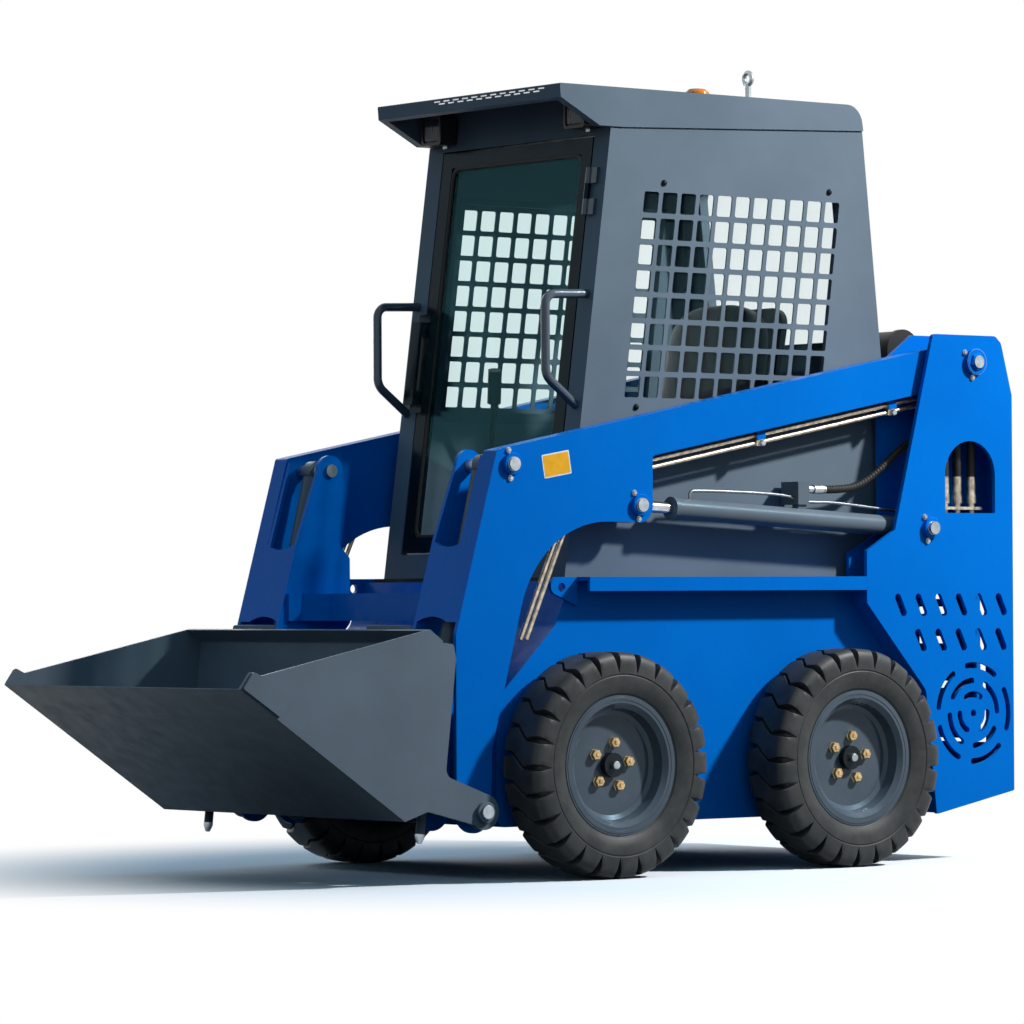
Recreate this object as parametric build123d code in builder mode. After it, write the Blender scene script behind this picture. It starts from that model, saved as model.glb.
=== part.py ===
from build123d import *
from math import atan2, cos, degrees, hypot, pi, radians, sin
import os

# Skid steer loader, standing on its tyres with the arms down and the bucket rolled back.
# Millimetres. +X forward, +Y to the machine's left, +Z up from the ground.
# The origin is on the ground, half way along the machine, on its middle plane.

# ---- driving sizes: lengths along the machine ----
REAR_OVERHANG = 663        # tail plates behind the rear axle
WHEELBASE = 833
PIN_AHEAD = 397            # bucket pin ahead of the front axle
BUCKET_REACH = 765         # bucket lip ahead of the bucket pin, rolled back
OVERALL_LENGTH = REAR_OVERHANG + WHEELBASE + PIN_AHEAD + BUCKET_REACH
TAIL_X = -OVERALL_LENGTH / 2
REAR_AXLE_X = TAIL_X + REAR_OVERHANG
FRONT_AXLE_X = REAR_AXLE_X + WHEELBASE

# ---- driving sizes: wheels ----
TYRE_RADIUS = 295
TYRE_WIDTH = 150
LUG_DEPTH = 20
LUG_COUNT = 25             # lugs on each shoulder
TRACK = 1078               # between the middle planes of left and right wheels
WHEEL_Y = TRACK / 2
RIM_RADIUS = 183
RIM_SEAT_RADIUS = 158
RIM_WIDTH = 110
DISC_OFFSET = 6            # wheel disc outboard of the wheel's middle plane
DISC_THICKNESS = 10
HUB_RADIUS = 32
RUNNING_FIT = 0.3          # play round pins, spigots and rods

# ---- driving sizes: frame ----
PLATE = 12                 # arm, tower and coupler plate
SHEET = 10                 # frame plate
TUB_GAP = 15               # between the tub's side and the tyre
TUB_HALF_WIDTH = WHEEL_Y - TYRE_WIDTH / 2 - TUB_GAP
TUB_BOTTOM_Z = 138
LEDGE_TOP_Z = 785
LEDGE_DEPTH = 37
TOWER_OVERHANG = 65        # tower's outer face outboard of the tub
TOWER_SET_IN = 40          # tower's inboard face inboard of the tub's side
TOWER_OUTER_Y = TUB_HALF_WIDTH + TOWER_OVERHANG
TOWER_INNER_Y = TUB_HALF_WIDTH - TOWER_SET_IN
TUB_TOP_Z = LEDGE_TOP_Z - SHEET

# ---- driving sizes: loader arms ----
ARM_TO_TOWER = 13          # between the arm's outer face and the tower's outer plate
ARM_OUTER_Y = TOWER_OUTER_Y - PLATE - ARM_TO_TOWER
ARM_BOX_WIDTH = 55
CLEVIS_WIDTH = 189         # from the arm's outer face to the inner clevis plate's inboard face
CLEVIS_INNER_Y = ARM_OUTER_Y - CLEVIS_WIDTH
PIVOT_X = TAIL_X + 144
PIVOT_Z = 1380
BUCKET_PIN_X = FRONT_AXLE_X + PIN_AHEAD
BUCKET_PIN_Z = 184
TILT_TOP_X = FRONT_AXLE_X + 270
TILT_TOP_Z = 1077
LIFT_ROD_X = FRONT_AXLE_X - 160
LIFT_ROD_Z = 974
LIFT_BASE_X = TAIL_X + 315
LIFT_BASE_Z = 918
LIFT_Y = ARM_OUTER_Y - ARM_BOX_WIDTH / 2
TILT_Y = (CLEVIS_INNER_Y + PLATE + ARM_OUTER_Y - ARM_BOX_WIDTH) / 2
PIN_RADIUS = 17.5

# ---- driving sizes: bucket, in its own frame with the floor level and the pin at 0, 0 ----
ROLL_BACK = 34             # degrees that the floor rises forward at rest
BUCKET_OVERLAP = 48        # bucket's side outboard of the arm
BUCKET_HALF_WIDTH = ARM_OUTER_Y + BUCKET_OVERLAP
BUCKET_SIDE = 10
BUCKET_SHEET = 8
COUPLER_PIN = (157, 148)   # tilt rod's pin on the coupler

# ---- driving sizes: cab ----
CAB_GAP = 14               # between the cab's side and the tower's inner plate
CAB_HALF_WIDTH = TOWER_INNER_Y - CAB_GAP
CAB_WALL = 30
CAB_FRONT_X = FRONT_AXLE_X + 19      # foot of the leaning front
CAB_REAR_X = FRONT_AXLE_X - 1112
CAB_LEAN = 0.139                     # how far the front runs back for each mm of height
CAB_FRAME_DEPTH = 40
SEAM_FRONT_Z = 1980
SEAM_REAR_Z = 2015
ROOF_TOP_Z = 2085

# ---- helpers ----


def side_plane(y):
    """Upright plane along the machine at a cross station y, with +X and +Z in it."""
    return Plane(origin=(0, y, 0), x_dir=(1, 0, 0), z_dir=(0, -1, 0))


def plate(corners, y_from, y_to, mode=Mode.ADD):
    """Plate between two cross stations, from corners of (x, z, corner radius)."""
    with BuildSketch(side_plane(y_from)) as profile:
        with BuildLine():
            FilletPolyline(*[(x, z) for x, z, _ in corners], radius=[r for _, _, r in corners],
                           close=True)
        make_face()
    extrude(profile.sketch, amount=y_from - y_to, mode=mode)


def disc(x, z, radius, y_from, y_to, mode=Mode.ADD):
    """Round bar, boss or hole across the machine."""
    with BuildSketch(side_plane(y_from)) as profile:
        with Locations((x, z)):
            Circle(radius)
    extrude(profile.sketch, amount=y_from - y_to, mode=mode)


def block(x_from, x_to, y_from, y_to, z_from, z_to, mode=Mode.ADD):
    """Rectangular block between stations."""
    with BuildSketch(Plane.XY.offset(z_from)) as profile:
        with Locations(((x_from + x_to) / 2, (y_from + y_to) / 2)):
            Rectangle(abs(x_to - x_from), abs(y_to - y_from))
    extrude(profile.sketch, amount=z_to - z_from, mode=mode)


def bar(start, end, radius, mode=Mode.ADD):
    """Round bar between two points."""
    along = Vector(*end) - Vector(*start)
    with BuildSketch(Plane(origin=start, z_dir=along)) as profile:
        Circle(radius)
    extrude(profile.sketch, amount=along.length, mode=mode)


def tube_run(points, bends, radius):
    """Round tube through points, with a bend radius at each inner point."""
    with BuildLine() as route:
        FilletPolyline(*points, radius=bends)
    start = route.wire().position_at(0)
    with BuildSketch(Plane(origin=start, z_dir=route.wire().tangent_at(0))) as section:
        Circle(radius)
    sweep(sections=section.sketch, path=route.wire())


def save(builder, name):
    """Label a finished piece and write it."""
    builder.part.label = name
    export_step(builder.part, f"parts/{name}.step")


os.makedirs("parts", exist_ok=True)
SIDES = (("left", 1), ("right", -1))

# ---- wheels: a lugged tyre, a deep-dished rim and an axle stub each ----
# Each half of the tread carries its own ring of lugs, half a pitch from the other.
# section of the tyre: distance from its middle plane, radius
CARCASS = (
    (0, RIM_SEAT_RADIUS), (RIM_WIDTH / 2, RIM_SEAT_RADIUS), (RIM_WIDTH / 2, RIM_RADIUS + RUNNING_FIT),
    (69, 192), (75, 222), (64, 264), (0, 275),
)
LUG_ENVELOPE = ((2, 255), (2, TYRE_RADIUS), (52, TYRE_RADIUS), (75, 262), (75, 236), (68, 236))
AXLES = (("front", FRONT_AXLE_X), ("rear", REAR_AXLE_X))


def ring_about_axle(section, x, y, out, mode=Mode.ADD):
    """Ring about a wheel's axle from corners of (distance outboard of y, radius)."""
    upright = Plane(origin=(x, y, TYRE_RADIUS), x_dir=(0, out, 0), z_dir=(out, 0, 0))
    with BuildSketch(upright) as profile:
        with BuildLine():
            Polyline(*section, close=True)
        make_face()
    revolve(profile.sketch, axis=Axis((x, y, TYRE_RADIUS), (0, 1, 0)), mode=mode)


def lug_ring(x, y, out, turn):
    """One shoulder's ring of lugs: a toothed ring trimmed to the tread's section."""
    pitch = 2 * pi / LUG_COUNT
    corners = []
    for tooth in range(LUG_COUNT):
        middle = turn + tooth * pitch
        for share, radius in ((-0.34, 240), (-0.31, 305), (0.31, 305), (0.34, 240)):
            angle = middle + share * pitch
            corners.append((x + radius * cos(angle), TYRE_RADIUS + radius * sin(angle)))
    with BuildPart(mode=Mode.PRIVATE) as ring:
        with BuildSketch(side_plane(y)):
            with BuildLine():
                Polyline(*corners, close=True)
            make_face()
        extrude(amount=-out * TYRE_WIDTH / 2)
        ring_about_axle(LUG_ENVELOPE, x, y, out, Mode.INTERSECT)
    return ring.part


for axle, axle_x in AXLES:
    for side, out in SIDES:
        wheel_y = out * WHEEL_Y
        rings = [lug_ring(axle_x, wheel_y, out, 0), lug_ring(axle_x, wheel_y, -out, pi / LUG_COUNT)]
        with BuildPart() as tyre:
            inboard_half = [(-y, r) for y, r in reversed(CARCASS[1:])]
            ring_about_axle(inboard_half + list(CARCASS[:-1]), axle_x, wheel_y, out)
            add(rings)
        save(tyre, f"tyre_{axle}_{side}")

        flange = RIM_WIDTH / 2 + RUNNING_FIT
        seat = RIM_SEAT_RADIUS - RUNNING_FIT
        face = DISC_OFFSET + DISC_THICKNESS
        bore = HUB_RADIUS + RUNNING_FIT
        with BuildPart() as rim:
            ring_about_axle((
                (flange, RIM_RADIUS), (flange, seat), (-flange, seat), (-flange, RIM_RADIUS),
                (-flange - 6, RIM_RADIUS), (-flange - 6, seat + 4), (-flange + 5, seat - 9),
                (DISC_OFFSET, seat - 36), (DISC_OFFSET, bore), (face, bore), (face, seat - 27),
                (face + 6, seat - 15), (flange - 5, seat - 9), (flange + 6, seat + 4),
                (flange + 6, RIM_RADIUS),
            ), axle_x, wheel_y, out)
        save(rim, f"rim_{axle}_{side}")

with BuildPart() as stubs:
    for axle, axle_x in AXLES:
        for side, out in SIDES:
            face = out * TUB_HALF_WIDTH
            disc(axle_x, TYRE_RADIUS, 78, face, face + out * 14)
            disc(axle_x, TYRE_RADIUS, 56, face + out * 14, out * (WHEEL_Y - 12))
            disc(axle_x, TYRE_RADIUS, HUB_RADIUS, out * (WHEEL_Y - 12), out * (WHEEL_Y + 34))
save(stubs, "axle_stubs")

# ---- frame: a hollow tub between the wheels, with ledges, front deck and tail ----
TUB_FRONT_X = FRONT_AXLE_X + 290
TUB_REAR_X = REAR_AXLE_X - 367
LEDGE_REAR_X = FRONT_AXLE_X - 945
SHELF_Z = 740
NOSE_LOW = (TUB_FRONT_X, 470)          # where the nose starts to run back
NOSE_BREAK = (FRONT_AXLE_X + 98, 655)  # where it turns up to the deck
DECK_FRONT_X = FRONT_AXLE_X + 44
TUB_OUTLINE = (
    (TUB_FRONT_X, TUB_BOTTOM_Z, 25), (*NOSE_LOW, 60), (*NOSE_BREAK, 40),
    (DECK_FRONT_X, TUB_TOP_Z, 0), (LEDGE_REAR_X, TUB_TOP_Z, 0),
    (LEDGE_REAR_X, SHELF_Z - RUNNING_FIT, 0), (TUB_REAR_X, SHELF_Z - RUNNING_FIT, 0),
    (TUB_REAR_X, TUB_BOTTOM_Z, 0),
)
with BuildPart() as tub:
    plate(TUB_OUTLINE, -TUB_HALF_WIDTH, TUB_HALF_WIDTH)
    inner = TUB_HALF_WIDTH - SHEET
    plate((
        (TUB_FRONT_X - SHEET, TUB_BOTTOM_Z + SHEET, 15), (TUB_FRONT_X - SHEET, NOSE_LOW[1] - 3, 50),
        (NOSE_BREAK[0] - 8, NOSE_BREAK[1] - 8, 30), (DECK_FRONT_X - 12, TUB_TOP_Z, 0),
        (DECK_FRONT_X - 12, TUB_TOP_Z + 50, 0),
        (TUB_REAR_X - 50, TUB_TOP_Z + 50, 0), (TUB_REAR_X - 50, TUB_BOTTOM_Z + SHEET, 0),
    ), -inner, inner, Mode.SUBTRACT)
save(tub, "frame_tub")

TIE_HOLE_RADIUS = 12
with BuildPart() as ledges:
    for _, out in SIDES:
        inboard = out * TOWER_INNER_Y
        outboard = out * TOWER_OUTER_Y
        block(LEDGE_REAR_X, FRONT_AXLE_X + 30, inboard, outboard, TUB_TOP_Z, LEDGE_TOP_Z)
        block(LEDGE_REAR_X, FRONT_AXLE_X + 30, outboard - out * SHEET, outboard,
              LEDGE_TOP_Z - LEDGE_DEPTH, LEDGE_TOP_Z)
        plate((
            (FRONT_AXLE_X + 30, LEDGE_TOP_Z, 0), (FRONT_AXLE_X + 118, LEDGE_TOP_Z, 22),
            (FRONT_AXLE_X + 118, LEDGE_TOP_Z - 40, 22), (FRONT_AXLE_X + 30, LEDGE_TOP_Z - 75, 0),
        ), out * (TUB_HALF_WIDTH + RUNNING_FIT), out * (TUB_HALF_WIDTH + RUNNING_FIT + PLATE))
        disc(FRONT_AXLE_X + 82, LEDGE_TOP_Z - 27, TIE_HOLE_RADIUS, out * TUB_HALF_WIDTH,
             out * TOWER_OUTER_Y, Mode.SUBTRACT)
save(ledges, "side_ledges")

with BuildPart() as deck:
    half = TOWER_INNER_Y - RUNNING_FIT
    block(CAB_REAR_X, DECK_FRONT_X, -half, half, TUB_TOP_Z, LEDGE_TOP_Z)
save(deck, "cab_floor")

# ---- towers: an outer plate with its vents, an inner plate, and the plates that close the box ----
TOWER_FRONT = (
    (FRONT_AXLE_X - 1197, 1454), (FRONT_AXLE_X - 1050, 912), (LEDGE_REAR_X - RUNNING_FIT, 854),
    (LEDGE_REAR_X - RUNNING_FIT, 712), (FRONT_AXLE_X - 1162, 472), (FRONT_AXLE_X - 1200, 129),
)
TOWER_TOP_Z = 1454
TAIL_BOTTOM_Z = 187
VENT_X = TAIL_X + 155
VENT_Z = 405
VENT_SLOT = 17
# ring radius, first angle, sweep and number of the arc vents
ARC_VENTS = ((133, 8, 47, 5), (90, 30, 57, 4), (52, 58, 62, 3))
# first slot's x behind the front axle, its top z and the number of slots, 76 mm apart
SLANT_VENTS = ((1070, 706, 6), (1144, 609, 5))
TOWER_BACK_Z = 1290
INNER_FRONT_X = FRONT_AXLE_X - 1075
WINDOW_X = TAIL_X + 162
WINDOW_Z = 960
for side, out in SIDES:
    outer = out * TOWER_OUTER_Y
    skin = out * (TOWER_OUTER_Y - PLATE)
    inner = out * TOWER_INNER_Y
    with BuildPart() as tower:
        plate((
            (TOWER_FRONT[0][0], TOWER_FRONT[0][1], 12), (TOWER_FRONT[1][0], TOWER_FRONT[1][1], 10),
            (TOWER_FRONT[2][0], TOWER_FRONT[2][1], 6), (TOWER_FRONT[3][0], TOWER_FRONT[3][1], 10),
            (TOWER_FRONT[4][0], TOWER_FRONT[4][1], 30), (TOWER_FRONT[5][0], TOWER_FRONT[5][1], 6),
            (TAIL_X, TAIL_BOTTOM_Z, 6), (TAIL_X, TOWER_BACK_Z, 8),
            (TAIL_X + 40, TOWER_TOP_Z - 20, 18), (TAIL_X + 62, TOWER_TOP_Z, 18),
        ), skin, outer)
        for first, top, count in SLANT_VENTS:
            with BuildSketch(side_plane(outer)):
                spots = [(FRONT_AXLE_X - first - 76 * n, top) for n in range(count)]
                with Locations(*spots):
                    SlotOverall(68, 22, rotation=63)
            extrude(amount=out * PLATE, mode=Mode.SUBTRACT)
        with BuildSketch(side_plane(outer)):
            with Locations((VENT_X, VENT_Z)):
                Circle(10)
                for radius, first, sweep_angle, count in ARC_VENTS:
                    for n in range(count):
                        with BuildLine(mode=Mode.PRIVATE) as arc:
                            CenterArc((0, 0), radius, first + n * 360 / count, sweep_angle)
                        SlotArc(arc.edge(), VENT_SLOT)
        extrude(amount=out * PLATE, mode=Mode.SUBTRACT)
        # arched window over the hoses
        plate((
            (WINDOW_X - 95, WINDOW_Z, 4), (WINDOW_X + 95, WINDOW_Z, 4),
            (WINDOW_X + 95, WINDOW_Z + 200, 94.9), (WINDOW_X - 95, WINDOW_Z + 200, 94.9),
        ), skin, outer, Mode.SUBTRACT)
        # inner plate, shelf, back plate and the front plates down to the tub
        plate((
            (TAIL_X + 62, TOWER_TOP_Z, 18), (INNER_FRONT_X - 128, TOWER_TOP_Z, 12),
            (INNER_FRONT_X - 28, 1383, 12), (INNER_FRONT_X, 1250, 12), (INNER_FRONT_X, 905, 20),
            (LEDGE_REAR_X - 18, 850, 8), (LEDGE_REAR_X - 18, SHELF_Z, 0), (TAIL_X + 8, SHELF_Z, 0),
            (TAIL_X + 8, TOWER_BACK_Z, 8), (TAIL_X + 40, TOWER_TOP_Z - 20, 18),
        ), inner, inner + out * PLATE)
        block(TAIL_X + 8, LEDGE_REAR_X - 18, inner, skin, SHELF_Z, SHELF_Z + SHEET)
        block(TAIL_X, TAIL_X + 8, inner, skin, TAIL_BOTTOM_Z + 12, TOWER_BACK_Z - 12)
        plate((
            (LEDGE_REAR_X - 1, SHELF_Z + SHEET, 0), (LEDGE_REAR_X - 1, 712, 10),
            (TOWER_FRONT[4][0] - 1, 471, 30), (TOWER_FRONT[5][0] - 1, 133, 0),
            (TOWER_FRONT[5][0] - 11, 133, 0), (TOWER_FRONT[4][0] - 11, 473, 26),
            (LEDGE_REAR_X - 11, 716, 10), (LEDGE_REAR_X - 11, SHELF_Z + SHEET, 0),
        ), out * (TUB_HALF_WIDTH + RUNNING_FIT), skin)
        for x, z in ((PIVOT_X, PIVOT_Z), (LIFT_BASE_X, LIFT_BASE_Z)):
            disc(x, z, 42, skin, skin - out * 10)
            disc(x, z, 42, inner + out * PLATE, inner + out * (PLATE + 10))
            disc(x, z, PIN_RADIUS + RUNNING_FIT, inner, outer, Mode.SUBTRACT)
    save(tower, f"tower_{side}")

# ---- pins that the frame holds: arm pivots and lift cylinder bases, with their heads ----
HEAD_RADIUS = 27
PIVOT_PINS = (("pivot", PIVOT_X, PIVOT_Z, 36), ("lift_base", LIFT_BASE_X, LIFT_BASE_Z, 27))
with BuildPart() as pins:
    for _, out in SIDES:
        for _, x, z, head in PIVOT_PINS:
            face = TOWER_OUTER_Y + RUNNING_FIT
            disc(x, z, PIN_RADIUS, out * (TOWER_INNER_Y - 14), out * (face + 22))
            disc(x, z, head, out * face, out * (face + 12))
            disc(x, z, head - 6, out * (TOWER_INNER_Y - RUNNING_FIT), out * (TOWER_INNER_Y - 10))
save(pins, "frame_pins")

# ---- cab: side panels with their grilles, leaning front, roof with visor, back and seat ----


def front_x(z):
    """Where the leaning front stands at height z."""
    return CAB_FRONT_X - CAB_LEAN * (z - LEDGE_TOP_Z)


GRILLE_TOP_Z = 1813
GRILLE_PITCH_X = 64.7
GRILLE_PITCH_Z = 70.6
GRILLE_COLUMNS = 11
GRILLE_ROWS = 8
GRILLE_BAR = 14
GRILLE_START_X = FRONT_AXLE_X - 263        # top front corner of the first opening
GRILLE_SHEET = 4                           # the panel is one sheet here, open behind
GRILLE_EDGE = 14                           # from the outermost openings to the fold behind
CELL_RADIUS = 6
SHOULDER_Z = 1384                          # where the back turns upright
CAB_BACK = (
    (FRONT_AXLE_X - 1046, SEAM_REAR_Z), (CAB_REAR_X, SHOULDER_Z), (CAB_REAR_X, LEDGE_TOP_Z),
)
for side, out in SIDES:
    outer = out * CAB_HALF_WIDTH
    with BuildPart() as panel:
        plate((
            (front_x(LEDGE_TOP_Z) - CAB_FRAME_DEPTH, LEDGE_TOP_Z, 0),
            (front_x(SEAM_FRONT_Z) - CAB_FRAME_DEPTH, SEAM_FRONT_Z, 0),
            (*CAB_BACK[0], 0), (*CAB_BACK[1], 60), (*CAB_BACK[2], 0),
        ), outer - out * CAB_WALL, outer)
        with BuildSketch(side_plane(outer)) as cells:
            for row in range(GRILLE_ROWS):
                top = GRILLE_TOP_Z - row * GRILLE_PITCH_Z
                low = top - GRILLE_PITCH_Z + GRILLE_BAR
                for column in range(GRILLE_COLUMNS):
                    x = GRILLE_START_X - column * GRILLE_PITCH_X + CAB_LEAN * (GRILLE_TOP_Z - top)
                    wide = GRILLE_PITCH_X - GRILLE_BAR
                    drift = CAB_LEAN * (top - low)
                    with BuildLine():
                        Polyline((x, top), (x + drift, low), (x + drift - wide, low),
                                 (x - wide, top), close=True)
                    make_face()
            fillet(cells.vertices(), CELL_RADIUS)
        extrude(cells.sketch, amount=out * CAB_WALL, mode=Mode.SUBTRACT)
        grille_low_z = GRILLE_TOP_Z - GRILLE_ROWS * GRILLE_PITCH_Z + GRILLE_BAR
        grille_wide = GRILLE_COLUMNS * GRILLE_PITCH_X - GRILLE_BAR
        drift = CAB_LEAN * (GRILLE_TOP_Z - grille_low_z)
        edge = GRILLE_EDGE
        plate((
            (GRILLE_START_X + edge, GRILLE_TOP_Z + edge, 12),
            (GRILLE_START_X + drift + edge, grille_low_z - edge, 12),
            (GRILLE_START_X + drift - grille_wide - edge, grille_low_z - edge, 12),
            (GRILLE_START_X - grille_wide - edge, GRILLE_TOP_Z + edge, 12),
        ), outer - out * CAB_WALL, outer - out * GRILLE_SHEET, Mode.SUBTRACT)
    save(panel, f"cab_side_{side}")

DOOR_TOP_Z = 1962
DOOR_BOTTOM_Z = 850
PILLAR_WIDTH = 65
DOOR_HALF_WIDTH = CAB_HALF_WIDTH - PILLAR_WIDTH
ROOF_HALF_WIDTH = CAB_HALF_WIDTH + 5
ROOF_SKIN = 12
HEADER_Z = ROOF_TOP_Z - ROOF_SKIN - RUNNING_FIT


def leaning(z_low, z_high, front, back):
    """Outline of a slab that leans with the cab's front, between two setbacks from it."""
    return (
        (front_x(z_low) - front, z_low, 0), (front_x(z_high) - front, z_high, 0),
        (front_x(z_high) - back, z_high, 0), (front_x(z_low) - back, z_low, 0),
    )


with BuildPart() as front_frame:
    plate(leaning(LEDGE_TOP_Z, SEAM_FRONT_Z - 1, 0, CAB_FRAME_DEPTH), -CAB_HALF_WIDTH, CAB_HALF_WIDTH)
    head = ROOF_HALF_WIDTH - CAB_WALL - RUNNING_FIT
    plate(leaning(SEAM_FRONT_Z - 1, HEADER_Z, 0, CAB_FRAME_DEPTH), -head, head)
    plate(leaning(DOOR_BOTTOM_Z, DOOR_TOP_Z, -20, CAB_FRAME_DEPTH + 20),
          -DOOR_HALF_WIDTH, DOOR_HALF_WIDTH, Mode.SUBTRACT)
save(front_frame, "cab_front_frame")

VISOR_X = FRONT_AXLE_X + 30
with BuildPart() as roof:
    plate((
        (VISOR_X, ROOF_TOP_Z, 3), (VISOR_X - 3, ROOF_TOP_Z - 37, 0),
        (front_x(SEAM_FRONT_Z) + 42, SEAM_FRONT_Z, 0),
        (front_x(SEAM_FRONT_Z) - CAB_FRAME_DEPTH, SEAM_FRONT_Z, 0),
        (FRONT_AXLE_X - 1046, SEAM_REAR_Z, 0), (FRONT_AXLE_X - 1035, ROOF_TOP_Z, 56),
    ), -ROOF_HALF_WIDTH, ROOF_HALF_WIDTH)
    plate((
        (VISOR_X - 15, ROOF_TOP_Z - ROOF_SKIN, 0), (VISOR_X - 15, SEAM_FRONT_Z - 40, 0),
        (FRONT_AXLE_X - 1016, SEAM_FRONT_Z - 40, 0), (FRONT_AXLE_X - 1016, SEAM_REAR_Z, 0),
        (FRONT_AXLE_X - 957, ROOF_TOP_Z - ROOF_SKIN, 30),
    ), CAB_WALL - ROOF_HALF_WIDTH, ROOF_HALF_WIDTH - CAB_WALL, Mode.SUBTRACT)
save(roof, "cab_roof")

WINDOW_TOP_Z = 1900
WINDOW_LOW_Z = 1440
BACK_HALF_WIDTH = CAB_HALF_WIDTH - CAB_WALL - RUNNING_FIT
REAR_WINDOW_HALF_WIDTH = CAB_HALF_WIDTH - 115
with BuildPart() as back:
    plate((
        (FRONT_AXLE_X - 1046, SEAM_REAR_Z - 2, 0), (CAB_REAR_X, SHOULDER_Z, 60),
        (CAB_REAR_X, LEDGE_TOP_Z, 0), (CAB_REAR_X + CAB_WALL, LEDGE_TOP_Z, 0),
        (CAB_REAR_X + CAB_WALL, SHOULDER_Z, 30), (FRONT_AXLE_X - 1016, SEAM_REAR_Z - 2, 0),
    ), -BACK_HALF_WIDTH, BACK_HALF_WIDTH)
    with BuildSketch(Plane.YZ.offset(CAB_REAR_X - 20)):
        with Locations((0, (WINDOW_TOP_Z + WINDOW_LOW_Z) / 2)):
            RectangleRounded(2 * REAR_WINDOW_HALF_WIDTH, WINDOW_TOP_Z - WINDOW_LOW_Z, 40)
    extrude(amount=200, mode=Mode.SUBTRACT)
save(back, "cab_back")

# panes: one against the back's inner face, one against each side panel's, behind its grille
GLASS = 5
BACK_SLOPE = (CAB_BACK[0][0] - CAB_REAR_X) / (SEAM_REAR_Z - SHOULDER_Z)


def back_inner_x(z):
    """Inner face of the cab's leaning back at height z."""
    return CAB_REAR_X + CAB_WALL + BACK_SLOPE * (z - SHOULDER_Z)


with BuildPart() as rear_glass:
    low, high, gap = WINDOW_LOW_Z - 12, WINDOW_TOP_Z + 12, RUNNING_FIT
    plate((
        (back_inner_x(low) + gap, low, 0), (back_inner_x(high) + gap, high, 0),
        (back_inner_x(high) + gap + GLASS, high, 0), (back_inner_x(low) + gap + GLASS, low, 0),
    ), -REAR_WINDOW_HALF_WIDTH - 12, REAR_WINDOW_HALF_WIDTH + 12)
save(rear_glass, "rear_glass")

with BuildPart() as side_glass:
    for _, out in SIDES:
        face = out * (CAB_HALF_WIDTH - CAB_WALL - RUNNING_FIT)
        plate((
            (GRILLE_START_X + 36, GRILLE_TOP_Z + 30, 20), (GRILLE_START_X + 110, GRILLE_TOP_Z - 594, 20),
            (CAB_REAR_X + 115, GRILLE_TOP_Z - 594, 20), (CAB_REAR_X + 115, GRILLE_TOP_Z + 30, 20),
        ), face - out * GLASS, face)
save(side_glass, "side_glass")

# ---- cab door: a leaning frame round tinted glass, hung on the left pillar ----
DOOR_GAP = 5
DOOR_DEPTH = 26
DOOR_RAIL = 42
HINGE_SETBACK = -9         # hinge axis ahead of the cab's front
HINGE_Y = DOOR_HALF_WIDTH + 2
HINGE_RADIUS = 8
HINGE_PIN_RADIUS = 4
HINGE_LENGTH = 126
KNUCKLE_GAP = 3
HINGE_HEIGHTS = (980, 1810)


def hinge_point(z):
    """Point on the door's hinge axis at height z."""
    return (front_x(z) - HINGE_SETBACK, HINGE_Y, z)


with BuildPart() as door:
    half = DOOR_HALF_WIDTH - DOOR_GAP
    low = DOOR_BOTTOM_Z + DOOR_GAP
    high = DOOR_TOP_Z - DOOR_GAP
    plate(leaning(low, high, 0, DOOR_DEPTH), -half, half)
    plate(leaning(low + DOOR_RAIL, high - DOOR_RAIL, -20, DOOR_DEPTH + 20),
          DOOR_RAIL - half, half - DOOR_RAIL, Mode.SUBTRACT)
    for z in HINGE_HEIGHTS:
        knuckle = HINGE_LENGTH / 3 - KNUCKLE_GAP
        ends = (z - knuckle / 2, z + knuckle / 2)
        bar(hinge_point(ends[0]), hinge_point(ends[1]), HINGE_RADIUS)
        plate(leaning(*ends, HINGE_SETBACK, 0), half - 8, half)
        plate(leaning(*ends, HINGE_SETBACK, -RUNNING_FIT), half, HINGE_Y)
        bar(hinge_point(z - HINGE_LENGTH / 2), hinge_point(z + HINGE_LENGTH / 2),
            HINGE_PIN_RADIUS + RUNNING_FIT, Mode.SUBTRACT)
save(door, "door_frame")

with BuildPart() as door_glass:
    plate(leaning(low + DOOR_RAIL + RUNNING_FIT, high - DOOR_RAIL - RUNNING_FIT, 8, 14),
          DOOR_RAIL + RUNNING_FIT - half, half - DOOR_RAIL - RUNNING_FIT)
save(door_glass, "door_glass")

with BuildPart() as latch:
    plate(leaning(1240, 1510, -26, -RUNNING_FIT), -half, 50 - half)
    plate(leaning(1262, 1300, -44, -26), 6 - half, 44 - half)
    plate(leaning(1450, 1488, -44, -26), 6 - half, 44 - half)
    plate(leaning(1262, 1488, -54, -44), 6 - half, 44 - half)
save(latch, "door_handle")

# ---- cab fittings that the frame carries ----
GRAB_RADIUS = 12
GRAB_Y = CAB_HALF_WIDTH - 27
GRAB_TOP_Z = 1530
GRAB_LOW_Z = 1315
GRAB_FOOT_Z = 1238
GRAB_REACH = FRONT_AXLE_X + 58
with BuildPart() as grabs:
    for _, out in SIDES:
        tube_run((
            (front_x(GRAB_TOP_Z), out * GRAB_Y, GRAB_TOP_Z + 5), (GRAB_REACH, out * GRAB_Y, GRAB_TOP_Z),
            (GRAB_REACH, out * GRAB_Y, GRAB_LOW_Z), (front_x(GRAB_FOOT_Z), out * GRAB_Y, GRAB_FOOT_Z),
        ), (30, 45), GRAB_RADIUS)
    for _, out in SIDES:
        # the tubes end flush with the leaning pillar
        plate(leaning(GRAB_FOOT_Z - 90, GRAB_TOP_Z + 120, RUNNING_FIT - 1, 60),
              out * (GRAB_Y - 2 * GRAB_RADIUS), out * (GRAB_Y + 2 * GRAB_RADIUS), Mode.SUBTRACT)
save(grabs, "grab_handles")

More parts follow.
